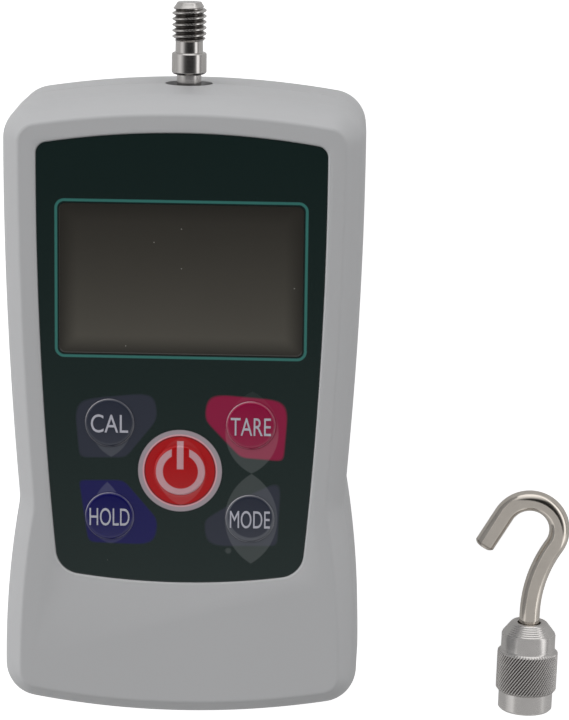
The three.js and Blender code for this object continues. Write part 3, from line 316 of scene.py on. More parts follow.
def printEffect():
    # Each shape is a distance beyond its edge, made a mask and laid over the colours before it
    tree, given, result = effect("panelPrint", panelPrint["inks"], {"Color": "Color"})
    point = fromFront(given["Vector"])
    across, up = axes(point)[:2]

    def inside(distance, blur=panelPrint["blur"]):
        # 1 where a distance is negative, 0 outside, soft across the edge
        return sloped(distance, -0.5 / blur, 0.5, clamp=True)

    def reach(x, y, radius):
        # distance beyond a circle
        return minus(vectorCalc("DISTANCE", point, (x, y, 0)), radius)

    def offLine(distance, half):
        # distance beyond a band that runs along an edge, this far to both sides of it
        return minus(calc("ABSOLUTE", distance), half)

    def side(row, middle):
        # distance beyond the straight line through two corners, away from the patch's middle
        start, end = np.array(row[:2]), np.array(row[2:])
        normal = np.array([start[1] - end[1], end[0] - start[0]]) / math.hypot(*(end - start))
        if normal @ (start - middle) < 0:
            normal = -normal
        return minus(vectorCalc("DOT_PRODUCT", point, (*normal.tolist(), 0)), float(normal @ start))

    colour = given["Film"]
    for ink, sides, roundings in panelPrint["patches"]:
        middle = np.array(sides).reshape(-1, 2).mean(0)
        distance = side(sides[0], middle)
        for row, rounding in zip(sides[1:], roundings):
            distance = calc("SMOOTH_MAX", distance, side(row, middle), rounding)
        colour = mixColour(inside(distance, panelPrint["patchBlur"]), colour, given[ink])
    ink, *disc = panelPrint["disc"]
    colour = mixColour(inside(reach(*disc)), colour, given[ink])

    line = panelPrint["line"]
    straight = tuple(size - line["corner"] for size in line["half"])
    beyond = vectorCalc("SUBTRACT", fromCentre(point, line["centre"]), (*straight, 0))
    edge = minus(vectorCalc("LENGTH", vectorCalc("MAXIMUM", beyond)), line["corner"])
    colour = mixColour(inside(offLine(edge, line["width"] / 2)), colour, given["Line"])

    power = panelPrint["power"]
    for ink, radius in power["discs"]:
        colour = mixColour(inside(reach(*power["centre"], radius)), colour, given[ink])
    x, y, outer, inner = power["ring"]
    band = larger(reach(x, y, outer), times(reach(x, y, inner), -1.0))
    gap = larger(offLine(minus(across, x), power["gap"]), minus(y, up))
    band = larger(band, times(gap, -1.0))
    x, y, wide, high = power["bar"]
    bar = larger(offLine(minus(across, x), wide), offLine(minus(up, y), high))
    colour = mixColour(inside(calc("MINIMUM", band, bar)), colour, given["Sign"])

    blur, stretch = panelPrint["pocketBlur"], panelPrint["stretch"]
    rings = []
    # each dome's ring: the film's whitening all round, and a painted highlight stronger toward the upper left
    for x, y in panelPrint["domes"]:
        ring = inside(offLine(reach(x, y, stretch["radius"]), stretch["half"]), blur)
        toward = vectorCalc("DOT_PRODUCT", vectorCalc("SUBTRACT", point, (x, y, 0)), stretch["toward"])
        rings.append(times(ring, larger(minus(toward, stretch["from"], clamp=True), stretch["least"])))
    colour = mixColour(functools.reduce(larger, rings), colour, given["White"])

    fade = panelPrint["pocketFade"]
    pockets = []
    for x, y, wide, high, domeX, domeY, dome, above, below, alongEdge in panelPrint["pockets"]:
        # a pocket is where two circles of this radius cross, without its dome
        radius = (high * high + wide * wide) / (2 * wide)
        offset = radius - wide
        lens = larger(reach(x - offset, y, radius), reach(x + offset, y, radius))
        aroundDome = times(reach(domeX, domeY, dome), -1.0)
        edge = inside(larger(offLine(lens, panelPrint["pocketEdge"]), aroundDome), blur)
        lower = sloped(up, -fade, fade * domeY + 0.5, clamp=True)
        strength = sloped(lower, below - above, above)
        filled = times(inside(larger(lens, aroundDome), blur), strength)
        pockets.append(larger(filled, times(edge, alongEdge)))
    pockets.append(times(inside(reach(*panelPrint["dot"]), panelPrint["dotBlur"]), panelPrint["dotStrength"]))
    lighter = vectorCalc("ADD", colour, given["Pocket"])
    feed(result, {"Color": mixColour(functools.reduce(larger, pockets), colour, lighter)})
    return tree


grain, mottle, turnedMarks = grainEffect(), mottleEffect(), turnedEffect()
specks, grooveShade, printed = speckEffect(), grooveShadeEffect(), printEffect()

# Materials


def startMaterial(name):
    # A material with one shader, and the places on the object that its effects are made from
    material = bpy.data.materials.new(name)
    material.use_nodes = True
    graph = material.node_tree.nodes
    graph.clear()
    where = graph.new("ShaderNodeTexCoord").outputs["Object"]
    shader = graph.new("ShaderNodeBsdfPrincipled")
    add("ShaderNodeOutputMaterial", {0: shader.outputs[0]})
    return material, where, shader


def useEffect(group, where, **feeds):
    # A shared effect set in a material, with its own values
    return add("ShaderNodeGroup", {"Vector": where, **feeds}, node_tree=group).outputs


def drifting(where, colour, scale, amount):
    # A colour that drifts lighter and darker by this share of itself
    return useEffect(mottle, where, Color=colour, Scale=scale, Amount=amount)["Color"]


def dusted(where, colour, scale, share, strength, dust):
    # A colour with specks of dust laid over it by a strength, one in this share of a pattern's cells
    mask = useEffect(specks, where, Scale=scale, Share=share)["Mask"]
    return mixColour(times(mask, strength), colour, dust)


def finishSurface(shader, colour, relief, roughness, change, metallic=0.0):
    # The roughness goes from less to more by the change as the relief's mask goes from 0 to 1
    gloss = ranged(relief["Mask"], 0.0, 1.0, roughness - change, roughness + change)
    feed(shader, {"Base Color": colour, "Roughness": gloss, "Normal": relief["Normal"], "Metallic": metallic})


def plastic(name, colour, roughness, drift, driftScale, grainScale, depth, metallic=0.0):
    # Moulded plastic: a slow drift of colour, and a fine grain in gloss and bump
    material, where, shader = startMaterial(name)
    fine = useEffect(grain, where, Scale=grainScale, Depth=depth)
    colour = drifting(where, colour, driftScale, drift)
    finishSurface(shader, colour, fine, roughness, change=0.06, metallic=metallic)
    return material


def metal(name, colour, roughness, axis=(0, 1, 0), scale=5000, depth=0.000004, drift=0.05, grooves=None):
    # Machined metal: lathe marks along an axis, small changes of tone, and painted shade in grooves where it
    # has them
    material, where, shader = startMaterial(name)
    colour = drifting(where, colour, scale=500.0, amount=drift)
    marks = useEffect(turnedMarks, where, Axis=axis, Scale=scale, Depth=depth)
    # painted shade laid into the grooves, darkest at their roots
    if grooves:
        centred = vectorCalc("SUBTRACT", where, tuple(value * mm for value in grooves["centre"]))
        turn = (0, 0, math.radians(grooves["turn"]))
        centred = add("ShaderNodeMapping", {"Vector": centred, "Rotation": turn}).outputs[0]
        inner, outer, start, end = (size * mm for size in grooves["radii"] + grooves["span"])
        mask = useEffect(grooveShade, centred, Inner=inner, Outer=outer, From=start, To=end)["Mask"]
        colour = mixColour(times(mask, grooves["share"]), colour, grooveShadeColour)
    finishSurface(shader, colour, marks, roughness, change=0.07, metallic=1.0)
    return material


def filmMaterial(name, roughness):
    # The printed film, shared by the panel and the keys
    material, where, shader = startMaterial(name)
    colour = drifting(where, useEffect(printed, where)["Color"], scale=120.0, amount=0.05)
    colour = dusted(where, colour, scale=320.0, share=0.012, strength=0.35, dust=shade(150, 150, 145))
    fine = useEffect(grain, where, Scale=2200.0, Depth=0.000004)
    finishSurface(shader, colour, fine, roughness, change=0.05)
    return material


window = {
    "centre": (0, 23.2), "half": (20.72, 12.92), "corner": 1.1, "flange": 1.66, "flangeCorner": 1.9,
    "flangeZ": 30.8, "seat": (43.7, 28.1), "seatDepth": 0.8, "opening": (39.3, 23.7),
    "filmOpening": (41.5, 25.9),
    "edge": [(0, 1.07, 0.06), (0.04, 1.05, 0.02), (0.12, 1.01, 0), (0.6, 0.8, 0)],  # narrower, corner, lower
    # the dark border is a painted shadow of the window's edge, and the light colour a painted reflection
    "border": 3.2, "borderCorner": 0.4, "light": shade(84, 81, 74), "dark": shade(42, 40, 36),
    "fade": (36.0, 11.0, 0.3, 1.0),  # from the top of the display to its foot, and how much of the painted reflection shows at both
    "fadePower": 1.7,
}


def windowMaterial():
    # Smoky window over a blank display: lighter in the middle, a soft dark border of painted shadow, and
    # lighter at the foot by painted reflection
    material, where, shader = startMaterial("smokyWindow")
    point = fromFront(where)
    # painted shadow: darker within the border's width of each edge
    margins = [calc("DIVIDE", minus(half, away), window["border"], clamp=True)
               for half, away in zip(window["half"], axes(fromCentre(point, window["centre"])))]
    depth = calc("SMOOTH_MIN", *margins, window["borderCorner"])
    # painted reflection: lighter from the top of the display toward its foot
    height = calc("POWER", ranged(axes(point)[1], *window["fade"]), window["fadePower"])
    colour = mixColour(times(depth, height), window["dark"], window["light"])
    colour = drifting(where, colour, scale=90.0, amount=0.04)
    colour = dusted(where, colour, scale=210.0, share=0.06, strength=0.6, dust=shade(170, 168, 160))
    fine = useEffect(grain, where, Scale=1500.0, Depth=0.000001)
    finishSurface(shader, colour, fine, roughness=0.15, change=0.05)
    return material


def boardMaterial():
    # Green solder mask over copper tracks: cells with thin borders, seen through the mask
    material, where, shader = startMaterial("circuitBoard")
    cells = add("ShaderNodeTexVoronoi", {"Vector": where, "Scale": 420.0}, feature="DISTANCE_TO_EDGE")
    borderWidth, trackHeight = 0.05, 0.00004
    tracks = calc("LESS_THAN", cells.outputs[0], borderWidth)
    colour = mixColour(tracks, shade(24, 84, 46), shade(44, 112, 62))
    colour = drifting(where, colour, scale=200.0, amount=0.1)
    relief = {"Mask": tracks, "Normal": bump(tracks, trackHeight)}
    finishSurface(shader, colour, relief, roughness=0.3, change=-0.05)
    return material


# colour of the painted shade in the grooves
grooveShadeColour = shade(52, 46, 42)
# Where the painted groove shade lies: the part's foot and lean, the radii of root and crest, and the ends of
# the stretch
threadShade = {"centre": (0, 0, shaftZ), "turn": 0, "radii": (2.36, 2.92), "span": (61.9, 67.3),
              "share": 0.85}
knurlShade = {"centre": adapterPlace, "turn": adapterLean, "radii": (5.22, 5.5), "span": (3.8, 10.85),
             "share": 0.8}
surfaces = {
    "shell": plastic("shellPlastic", shade(178, 178.5, 180), 0.44, 0.012, 45, 2600, 0.000012),
    "film": filmMaterial("panelFilm", 0.2),
    "key": filmMaterial("keyFilm", 0.15),
    "legend": plastic("legendInk", shade(176, 176, 187), 0.4, 0.06, 900, 5000, 0.000002),
    "window": windowMaterial(),
    "shaft": metal("turnedStainless", (0.56, 0.54, 0.525, 1), 0.15, grooves=threadShade),
    "wire": metal("bentWire", (0.66, 0.61, 0.55, 1), 0.13, (1, 0.2, 0), 2500, 0.0000012, 0.08),
    "coupling": metal("knurledStainless", (0.62, 0.6, 0.585, 1), 0.24, scale=2500, depth=0.000002,
                      grooves=knurlShade),
    "screw": metal("zincScrew", (0.62, 0.62, 0.6, 1), 0.3, (0, 0, 1), 4000),
    "nickel": metal("nickelSheet", (0.68, 0.66, 0.62, 1), 0.25, (0.7, 0.7, 0), 3000),
    "brass": metal("insertBrass", (0.78, 0.6, 0.3, 1), 0.28, (0, 0, 1), 4000),
    "alloy": metal("cellAlloy", (0.75, 0.76, 0.78, 1), 0.35, (0, 1, 0), 2500, 0.000006),
    "frame": metal("frameSteel", (0.56, 0.56, 0.57, 1), 0.4, (1, 0, 0), 1800, 0.000006),
    "foam": plastic("gasketFoam", shade(34, 34, 35), 0.95, 0.2, 900, 4000, 0.00006),
    "glass": plastic("displayGlass", shade(104, 101, 92), 0.12, 0.03, 80, 2000, 0.000001),
    "guide": plastic("lightGuide", shade(226, 228, 222), 0.25, 0.02, 60, 2500, 0.00002),
    "rubber": plastic("contactRubber", shade(196, 120, 134), 0.75, 0.12, 2500, 3500, 0.00002),
    "board": boardMaterial(),
    "chip": plastic("chipResin", shade(28, 28, 30), 0.55, 0.1, 900, 6000, 0.00001),
    "connector": plastic("connectorNylon", shade(226, 220, 200), 0.5, 0.05, 300, 4000, 0.00001),
    "tray": plastic("trayPlastic", shade(36, 37, 40), 0.6, 0.08, 200, 2500, 0.00002),
    "wrap": plastic("batteryWrap", shade(46, 122, 80), 0.35, 0.06, 150, 2500, 0.000006),
    "foil": plastic("gaugeFoil", shade(196, 134, 72), 0.4, 0.15, 2500, 6000, 0.000006, metallic=0.6),
    "ribbon": plastic("ribbonCable", shade(152, 155, 158), 0.5, 0.1, 1500, 4000, 0.00001),
    "lead": plastic("leadJacket", shade(168, 38, 32), 0.5, 0.06, 400, 4000, 0.00001),
}
# Pieces that keep their CAD shape, by the start of their names, and the surface of each
kept = {
    "display_gasket": "foam", "display_glass": "glass", "light_guide": "guide", "contact_strip": "rubber",
    "main_board": "board", "mcu_chip": "chip", "converter_chip": "chip", "crystal": "nickel",
    "cell_connector": "connector", "battery_connector": "connector", "buzzer": "chip",
    "data_socket": "nickel", "charge_socket": "chip", "snap_dome": "nickel", "load_cell": "alloy",
    "strain_gauge": "foil", "load_frame": "frame", "cell_screw": "screw", "board_screw": "screw",
    "battery_tray": "tray", "battery_cell": "wrap", "battery_contact": "nickel", "sensor_ribbon": "ribbon",
    "battery_lead": "lead",
}
for title, item in nodes.items():
    for start, surface in kept.items():
        if title.startswith(start):
            for slot in item.material_slots:
                slot.material = surfaces[surface]
print("materials made")

# Mesh tools


def around(count):
    # Angles of one full turn in equal steps
    return np.arange(count) / count * 2 * math.pi


def unit(angles):
    return np.stack([np.cos(angles), np.sin(angles)], -1)


def columns(profile):
    # Radii and heights of a profile, one row for each ring
    profile = np.asarray(profile, float)
    return profile[:, :1], profile[:, 1:2]


def joinedName(name):
    # Such as UpperLeft for upper_left
    return name.title().replace("_", "")


def ringSurface(rings, looped=False):
    # Point k of ring j joins point k + 1 and the same two of ring j + 1 in one quad. A looped
    # surface joins its last ring to its first, any other is closed by a flat face at each end.
    rings = np.asarray(rings, float)
    rows, count = rings.shape[:2]
    row = np.arange(rows if looped else rows - 1)[:, None]
    column = np.arange(count)[None, :]
    nextRow, nextColumn = (row + 1) % rows, (column + 1) % count
    quads = np.stack([row * count + column, row * count + nextColumn,
                      nextRow * count + nextColumn, nextRow * count + column], -1)
    faces = quads.reshape(-1, 4).tolist()
    if not looped:
        faces.append(list(range(count))[::-1])
        faces.append(list(range((rows - 1) * count, rows * count)))
    return rings.reshape(-1, 3), faces


def merged(parts):
    # Several closed surfaces as one, the face numbers of each moved past the points before it
    starts = np.cumsum([0] + [len(points) for points, faces in parts])
    points = np.concatenate([points for points, faces in parts])
    faces = [[index + int(start) for index in face]
             for start, (_, group) in zip(starts, parts) for face in group]
    return points, faces


def faceOutward(mesh, mergeDistance=0.0):
    # Joins points that lie this close together, and turns every face away from the inside
    work = bmesh.new()
    work.from_mesh(mesh)
    if mergeDistance:
        bmesh.ops.remove_doubles(work, verts=work.verts, dist=mergeDistance)
    bmesh.ops.recalc_face_normals(work, faces=work.faces)
    if work.calc_volume(signed=True) < 0:
        bmesh.ops.reverse_faces(work, faces=work.faces)
    work.to_mesh(mesh)
    work.free()


def makeObject(name, shape):
    # An object in metres from points in millimetres and their faces
    points, faces = shape
    mesh = bpy.data.meshes.new(name)
    mesh.from_pydata((points * mm).tolist(), [], faces)
    faceOutward(mesh)
    return newObject(name, mesh)


def finalMesh(item):
    # What an object's modifiers or letters come to, as a plain mesh
    bpy.context.view_layer.update()
    return bpy.data.meshes.new_from_object(item.evaluated_get(bpy.context.evaluated_depsgraph_get()))


def combine(item, parts, operation="DIFFERENCE"):
    # Cuts closed surfaces that don't touch each other out of a piece, or adds them to it
    tool = makeObject("tool", merged(parts))
    change = item.modifiers.new("change", "BOOLEAN")
    change.operation = operation
    change.solver = "MANIFOLD"
    change.object = tool
    result = finalMesh(item)
    item.modifiers.clear()
    used = [item.data, tool.data]
    item.data = result
    bpy.data.objects.remove(tool)
    for mesh in used:
        bpy.data.meshes.remove(mesh)


def dress(item, material, body, replaced=(), sharp=32):
    # Shades a finished piece, and tells the frame what it is
    mesh = item.data
    mesh.materials.clear()
    mesh.materials.append(surfaces[material])
    mesh.shade_smooth()
    mesh.set_sharp_from_angle(angle=math.radians(sharp))
    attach(item, body)
    if replaced:
        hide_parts(*replaced)
    return item


def roundedLine(corners, steps=5, support=0.15):
    # A line through (a, b, radius) corners. Each corner with a radius becomes an arc that
    # touches both sides, with one more point on each side to keep the flat next to it flat.
    line = []
    for index, corner in enumerate(corners):
        here = np.array(corner[:2], float)
        radius = corner[2] if len(corner) > 2 else 0
        if radius == 0 or index in (0, len(corners) - 1):
            line.append(here)
            continue
        before = np.array(corners[index - 1][:2]) - here
        after = np.array(corners[index + 1][:2]) - here
        before, after = before / np.linalg.norm(before), after / np.linalg.norm(after)
        half = math.acos(np.clip(before @ after, -1, 1)) / 2
        reach = radius / math.tan(half)
        middle = (before + after) / np.linalg.norm(before + after)
        centre = here + middle * radius / math.sin(half)
        start, end = here + before * reach - centre, here + after * reach - centre
        first = math.atan2(start[1], start[0])
        turn = (math.atan2(end[1], end[0]) - first + math.pi) % (2 * math.pi) - math.pi
        line.append(centre + start + before * support)
        line.extend(centre + radius * unit(first + turn * np.linspace(0, 1, steps + 1)))
        line.append(centre + end + after * support)
    return np.array(line)


def turnedRings(sections, count, centre=(0, 0, 0), axis="z"):
    # Sections are radii and heights, one row for each ring. Point k of a ring stands at k / count
    # of a full turn about +Z or +Y, at the ring's radius or at one of its own.
    angles = around(count)
    radii = np.concatenate([radius + 0 * angles for radius, height in sections])
    heights = np.concatenate([height + 0 * angles for radius, height in sections])
    first, second = radii * np.cos(angles), radii * np.sin(angles)
    rings = [first, second, heights] if axis == "z" else [second, heights, first]
    return np.stack(rings, -1) + np.array(centre)


def lathe(profile, count=64, centre=(0, 0, 0), axis="z"):
    # Ring j is a circle of the profile's radius j at its height j, about +Z or +Y
    return ringSurface(turnedRings([columns(profile)], count, centre, axis))


def rod(place, radius, low, high, count=48, chamfer=0.0):
    # A cylinder, or one that widens by its chamfer below z = 0 to cut a bevelled hole in the back
    profile = [(radius, low), (radius, high)]
    if chamfer:
        profile = [(radius + chamfer, low), (radius + chamfer, 0), (radius, chamfer), (radius, high)]
    return lathe(profile, count, (*place, 0))


def roundedRectangle(width, height, radius, steps=8):
    # Corner k's arc runs from k to k + 1 quarter turns about the corner's own middle
    corner = np.repeat(np.arange(4), steps + 1)
    angle = (corner + np.tile(np.linspace(0, 1, steps + 1), 4)) * math.pi / 2
    side = np.array([[1, 1], [-1, 1], [-1, -1], [1, -1]])[corner]
    return side * (np.array([width, height]) / 2 - radius) + radius * unit(angle)


def rectangleStack(levels, centre=(0, 0), steps=8):
    # Rounded rectangles of (width, height, corner radius, z), lowest first
    rings = []
    for width, height, radius, z in levels:
        flat = roundedRectangle(width, height, radius, steps) + np.array(centre)
        rings.append(np.concatenate([flat, np.full((len(flat), 1), z)], 1))
    return ringSurface(rings)


# Outlines of the housing and the panel: shallow arcs joined by round corners


def circlesMeet(first, firstRadius, second, secondRadius):
    # The crossing of two circles that lies further to the right
    span = second - first
    distance = np.linalg.norm(span)
    along = (distance ** 2 + firstRadius ** 2 - secondRadius ** 2) / (2 * distance)
    across = math.sqrt(firstRadius ** 2 - along ** 2)
    direction = span / distance
    normal = np.array([-direction[1], direction[0]])
    return first + direction * along + normal * across * math.copysign(1, normal[0])


def outline(arcs, fillets, spacing=1.2, filletSteps=18):
    # Centre C, radius R and direction U of every point, so that an inset of d is C + (R - d) U.
    # The right half runs from the top middle down, and the left half mirrors it. An arc is given
    # by the point where it reaches furthest, the way it faces there, and its radius.
    circles = [(np.array(point, float) - radius * np.array(facing), radius) for point, facing, radius in arcs]
    runs, angle = [], math.pi / 2
    for index, (centre, radius) in enumerate(circles):
        end = -math.pi / 2
        if index < len(fillets):
            following, nextRadius = circles[index + 1]
            fillet = fillets[index]
            corner = circlesMeet(centre, radius - fillet, following, nextRadius - fillet)
            end = math.atan2(*(corner - centre)[::-1])
        count = max(2, round(radius * abs(end - angle) / spacing))
        runs.append((centre, radius, np.linspace(angle, end, count, endpoint=False)))
        if index < len(fillets):
            angle = math.atan2(*(corner - following)[::-1])
            runs.append((corner, fillet, np.linspace(end, angle, filletSteps, endpoint=False)))
    runs.append((centre, radius, np.array([-math.pi / 2])))
    centres = np.concatenate([np.repeat(run[0][None], len(run[2]), 0) for run in runs])
    radii = np.concatenate([np.full(len(run[2]), run[1]) for run in runs])
    directions = unit(np.concatenate([run[2] for run in runs]))
    mirror = np.array([-1, 1])
    centres = np.concatenate([centres, (centres * mirror)[-2:0:-1]])
    directions = np.concatenate([directions, (directions * mirror)[-2:0:-1]])
    return centres, np.concatenate([radii, radii[-2:0:-1]]), directions


def outlineSurface(shape, profile):
    # Ring j is the outline drawn in by the profile's inset j, at its height j
    centres, radii, directions = shape
    inset, height = columns(profile)
    flat = centres[None] + (radii[None] - inset)[..., None] * directions[None]
    height = np.broadcast_to(height[..., None], (*flat.shape[:2], 1))
    return ringSurface(np.concatenate([flat, height], -1))


housing = {
    "endY": 54.5, "partingZ": shaftZ, "faceZ": 32.0, "recessZ": 31.6, "filmZ": 31.8, "plateUnderZ": 29.6,
    "wall": 2.4, "draft": 0.15, "bevel": 3.1, "bevelZ": 28.6, "faceInset": 2, "creaseRound": 0.9,
    "shoulderRound": 6.8, "groove": 0.13, "grooveRound": 0.03, "plateInset": 6, "innerCorner": 1.6,
    "innerRound": 0.4, "rimChamfer": 0.26, "filmInset": 2, "filmEdge": 0.07, "filmRound": 0.06,
    # the rear shell: its floor, the lip that the front shell closes over, and its rounded lower edge
    "floorZ": 2, "floorInset": 8, "floorRound": 0.5, "lip": 1.5, "lipWall": 0.3, "lipStep": 1,
    "footZ": 1.8, "footRound": 1.3, "footInset": 1.6, "backInset": 4,
    "shaftHole": 4.1, "shaftHoleFrom": 49.5, "shaftHoleChamfer": 0.15, "shaftHoleMouth": 0.05,
}
housingShape = outline([
    ((0, 54.5), (0, 1), 163),
    ((30.85, 45), (1, 0), 744),
    ((30.9, -46), (1, 0), 167),
    ((0, -54.85), (0, -1), 148),
], [6.2, -9, 6.2])
panelShape = outline([
    ((0, 48.3), (0, 1), 144),
    ((24.65, 42), (1, 0), 696),
    ((0, -30), (0, -1), 125),
], [2, 4.4])


def bothSides(places):
    # Each place on the right, and its mirror image on the left
    return {row + side: (x * sign, y) for row, (x, y) in places.items()
            for side, sign in [("_right", 1), ("_left", -1)]}


casePosts = bothSides({"top": (25.35, 46.7), "bottom": (25.4, -47.5)})
boardPosts = bothSides({"top": (18.8, 41.9), "bottom": (18.8, -22.6)})
insertPlaces = bothSides({"top": (16.5, 32), "bottom": (16.5, -9)})
# Radii and heights of the posts inside, and of the bores and wells in them
fixings = {
    "root": 0.3, "post": 2.9, "postFoot": 0.3, "postBore": 1.55, "postBoreTop": 20.3,
    "peg": 2.1, "pegFoot": 24.2, "pegBore": 1.25, "pegBoreFoot": 23.2, "pegBoreTop": 27.9,
    "rearPost": 3.3, "rearPostFoot": 1.7, "rearWell": 3.2, "rearWellDepth": 3,
    "screwWell": 2.6, "screwWellTop": 6, "screwWellChamfer": 0.25,
    "insertBore": 3.1, "insertBoreTop": 3, "insertBoreChamfer": 0.2, "steps": 64,
}
# Radii of a key, of its dome, of the flange that holds it and of the hole it stands in, how far its dome
# rises, and the size of its legend
roundKey = {"radius": 4.28, "dome": 4.28, "rise": 0.26, "flange": 5.0, "hole": 4.4, "size": (6.9, 3.1)}
keys = {
    "upper_left": {**roundKey, "at": (-12.1, -1.8), "slot": "key_grey", "legend": "CAL", "legendY": -1.9,
                   "size": (6.4, 3.2)},
    "upper_right": {**roundKey, "at": (12.1, -1.8), "slot": "key_crimson", "legend": "TARE", "legendY": -2.0},
    "lower_left": {**roundKey, "at": (-12.1, -18.3), "slot": "key_blue", "legend": "HOLD", "legendY": -18.4},
    "lower_right": {**roundKey, "at": (12.1, -18.3), "slot": "key_grey", "legend": "MODE", "legendY": -18.4},
    "power": {"radius": 7.42, "dome": 4.5, "rise": 0.16, "flange": 8.2, "hole": 7.6, "at": (0, -10),
              "slot": "key_red"},
}
# What all the caps share, then all the legends
keyForm = {"slope": 0.45, "crown": 0.07, "innermost": 0.15, "stem": 1.6, "stemFoot": 24.85, "stemEdge": 0.15,
           "flangeFoot": 28.2, "flangeTop": 29.3, "filmGap": 0.02, "steps": (8, 10, 14)}
legendForm = {"half": 0.01, "curveSteps": 5, "above": 0.025, "below": -0.06, "edge": 0.05, "join": 0.001}
# Stations are x, from inside the left wall out: where the mouth starts, where it widens, and past the wall
sockets = {
    "chamfer": 0.25, "steps": 48,
    "data": {"at": (30, 20.6), "size": (8, 3.8), "corner": 0.5, "stations": (-27.1, -30.37, -30.65, -32)},
    "charge": {"at": (17, 20.1), "radius": 1.95, "stations": (-27.1, -30.0, -30.27, -32)},
}


def shaftHoleTool():
    # A cylinder about the shaft's axis, with a small chamfer where it leaves the end wall
    h = housing
    mouth, wide = h["endY"] + h["shaftHoleMouth"], h["shaftHole"] + h["shaftHoleChamfer"]
    profile = [(h["shaftHole"], h["shaftHoleFrom"]), (h["shaftHole"], mouth - h["shaftHoleChamfer"]),
               (wide, mouth), (wide, h["endY"] + past)]
    return lathe(profile, smooth, (0, 0, h["partingZ"]), "y")


def socketMouth(socket, narrow, wide):
    # Ring j is the narrow outline inside the chamfer and the wide one outside it, at x = station j
    return ringSurface([np.column_stack([np.full(len(ring), x), ring + np.array(socket["at"])])
                        for x, ring in zip(socket["stations"], (narrow, narrow, wide, wide))])


def socketTools():
    # A rounded rectangle and a circle carried through the left wall, both wider past the chamfer
    data, charge, chamfer = sockets["data"], sockets["charge"], sockets["chamfer"]
    (width, height), corner = data["size"], data["corner"]
    circle = unit(around(sockets["steps"]))
    return [
        socketMouth(data, roundedRectangle(width, height, corner),
                    roundedRectangle(width + 2 * chamfer, height + 2 * chamfer, corner + chamfer)),
        socketMouth(charge, charge["radius"] * circle, (charge["radius"] + chamfer) * circle),
    ]


def windowHole(size, low, high):
    # A rounded rectangle about the window's middle, from low to high
    return rectangleStack([(*size, window["corner"], low), (*size, window["corner"], high)], window["centre"])


def frontHousing():
    # The outline carried up a profile of inner wall, parting line, drafted side, shoulder and face, then
    # joined to its posts and cut by the recess, the holes and the window
    h, f = housing, fixings
    parting, face, under, wall, draft = h["partingZ"], h["faceZ"], h["plateUnderZ"], h["wall"], h["draft"]
    corner, turn = h["innerCorner"], h["innerRound"]
    profile = np.concatenate([
        roundedLine([(h["plateInset"], under), (wall + draft + corner, under, turn),
                     (wall + draft, under - corner, turn), (wall, parting)], 3),
        roundedLine([(h["groove"], parting), (0.0, parting + h["groove"], h["grooveRound"]),
                     (draft, h["bevelZ"], h["shoulderRound"]), (h["bevel"], face, h["creaseRound"]),
                     (h["bevel"] + h["faceInset"], face)], 7, 0.25),
    ])
    item = makeObject("frontHousing", outlineSurface(housingShape, profile))
    places, boardPlaces = casePosts.values(), boardPosts.values()
    posts = [rod(place, f["post"], parting + f["postFoot"], under + f["root"]) for place in places]
    pegs = [rod(place, f["peg"], f["pegFoot"], under + f["root"]) for place in boardPlaces]
    combine(item, posts + pegs, "UNION")
    rim = h["rimChamfer"]
    recess = outlineSurface(panelShape, [
        (0, h["recessZ"]), (0, face - 0.9 * rim), (-0.1 * rim, face - 0.7 * rim),
        (-0.7 * rim, face - 0.1 * rim), (-rim, face), (-rim, face + past),
    ])
    bores = [rod(place, f["postBore"], parting, f["postBoreTop"]) for place in places]
    pegBores = [rod(place, f["pegBore"], f["pegBoreFoot"], f["pegBoreTop"]) for place in boardPlaces]
    combine(item, [recess, shaftHoleTool()] + socketTools() + bores + pegBores)
    seat = windowHole(window["seat"], h["recessZ"] - window["seatDepth"], face)
    keyHoles = [rod(key["at"], key["hole"], under - past, face, smooth) for key in keys.values()]
    combine(item, [seat] + keyHoles)
    combine(item, [windowHole(window["opening"], under - past, face)])
    return dress(item, "shell", "housing", ["front_shell"])


def rearHousing():
    # The outline carried up a profile of floor, inner wall, lip, drafted side and rounded foot, then
    # joined to its posts and cut by their wells and bores
    h, f = housing, fixings
    parting, draft, inner = h["partingZ"], h["draft"], h["wall"] + h["lipWall"]
    wall, lipTop = inner + h["lipStep"], parting + h["lip"]
    profile = np.concatenate([
        roundedLine([(h["floorInset"], h["floorZ"]), (wall, h["floorZ"], h["floorRound"]),
                     (wall, lipTop)], 4),
        roundedLine([(inner, lipTop), (inner, parting), (h["groove"], parting),
                     (0, parting - h["grooveRound"], 0.01), (draft, h["footZ"], h["footRound"]),
                     (draft + h["footInset"], 0, 1.0), (draft + h["backInset"], 0)], 6, 0.25),
    ])
    item = makeObject("rearHousing", outlineSurface(housingShape, profile))
    places = casePosts.values()
    combine(item, [rod(place, f["rearPost"], f["rearPostFoot"], parting) for place in places], "UNION")
    wells = [rod(place, f["rearWell"], parting, parting + f["rearWellDepth"]) for place in places]
    combine(item, wells + [shaftHoleTool()])
    screwWells = [rod(place, f["screwWell"], -past, f["screwWellTop"], f["steps"], f["screwWellChamfer"])
                  for place in places]
    insertBores = [rod(place, f["insertBore"], -past, f["insertBoreTop"], f["steps"], f["insertBoreChamfer"])
                   for place in insertPlaces.values()]
    combine(item, screwWells + insertBores)
    combine(item, [rod(place, f["postBore"], 0, parting + past) for place in places])
    return dress(item, "shell", "housing", ["rear_shell"])


def filmPanel():
    # The panel's outline carried up a profile with a softened upper edge, cut for the window and the keys
    low, high, inset, edge = housing["recessZ"], housing["filmZ"], housing["filmInset"], housing["filmEdge"]
    corners = [(inset, low), (edge, low), (edge, high, housing["filmRound"]), (inset, high)]
    profile = roundedLine(corners, 3, 0.1)
    item = makeObject("filmPanel", outlineSurface(panelShape, profile))
    opening = windowHole(window["filmOpening"], low - past, high + past)
    holes = [rod(key["at"], key["radius"] + keyForm["filmGap"], low - past, high + past, smooth)
             for key in keys.values()]
    combine(item, [opening] + holes)
    return dress(item, "film", "housing", ["panel_overlay"])


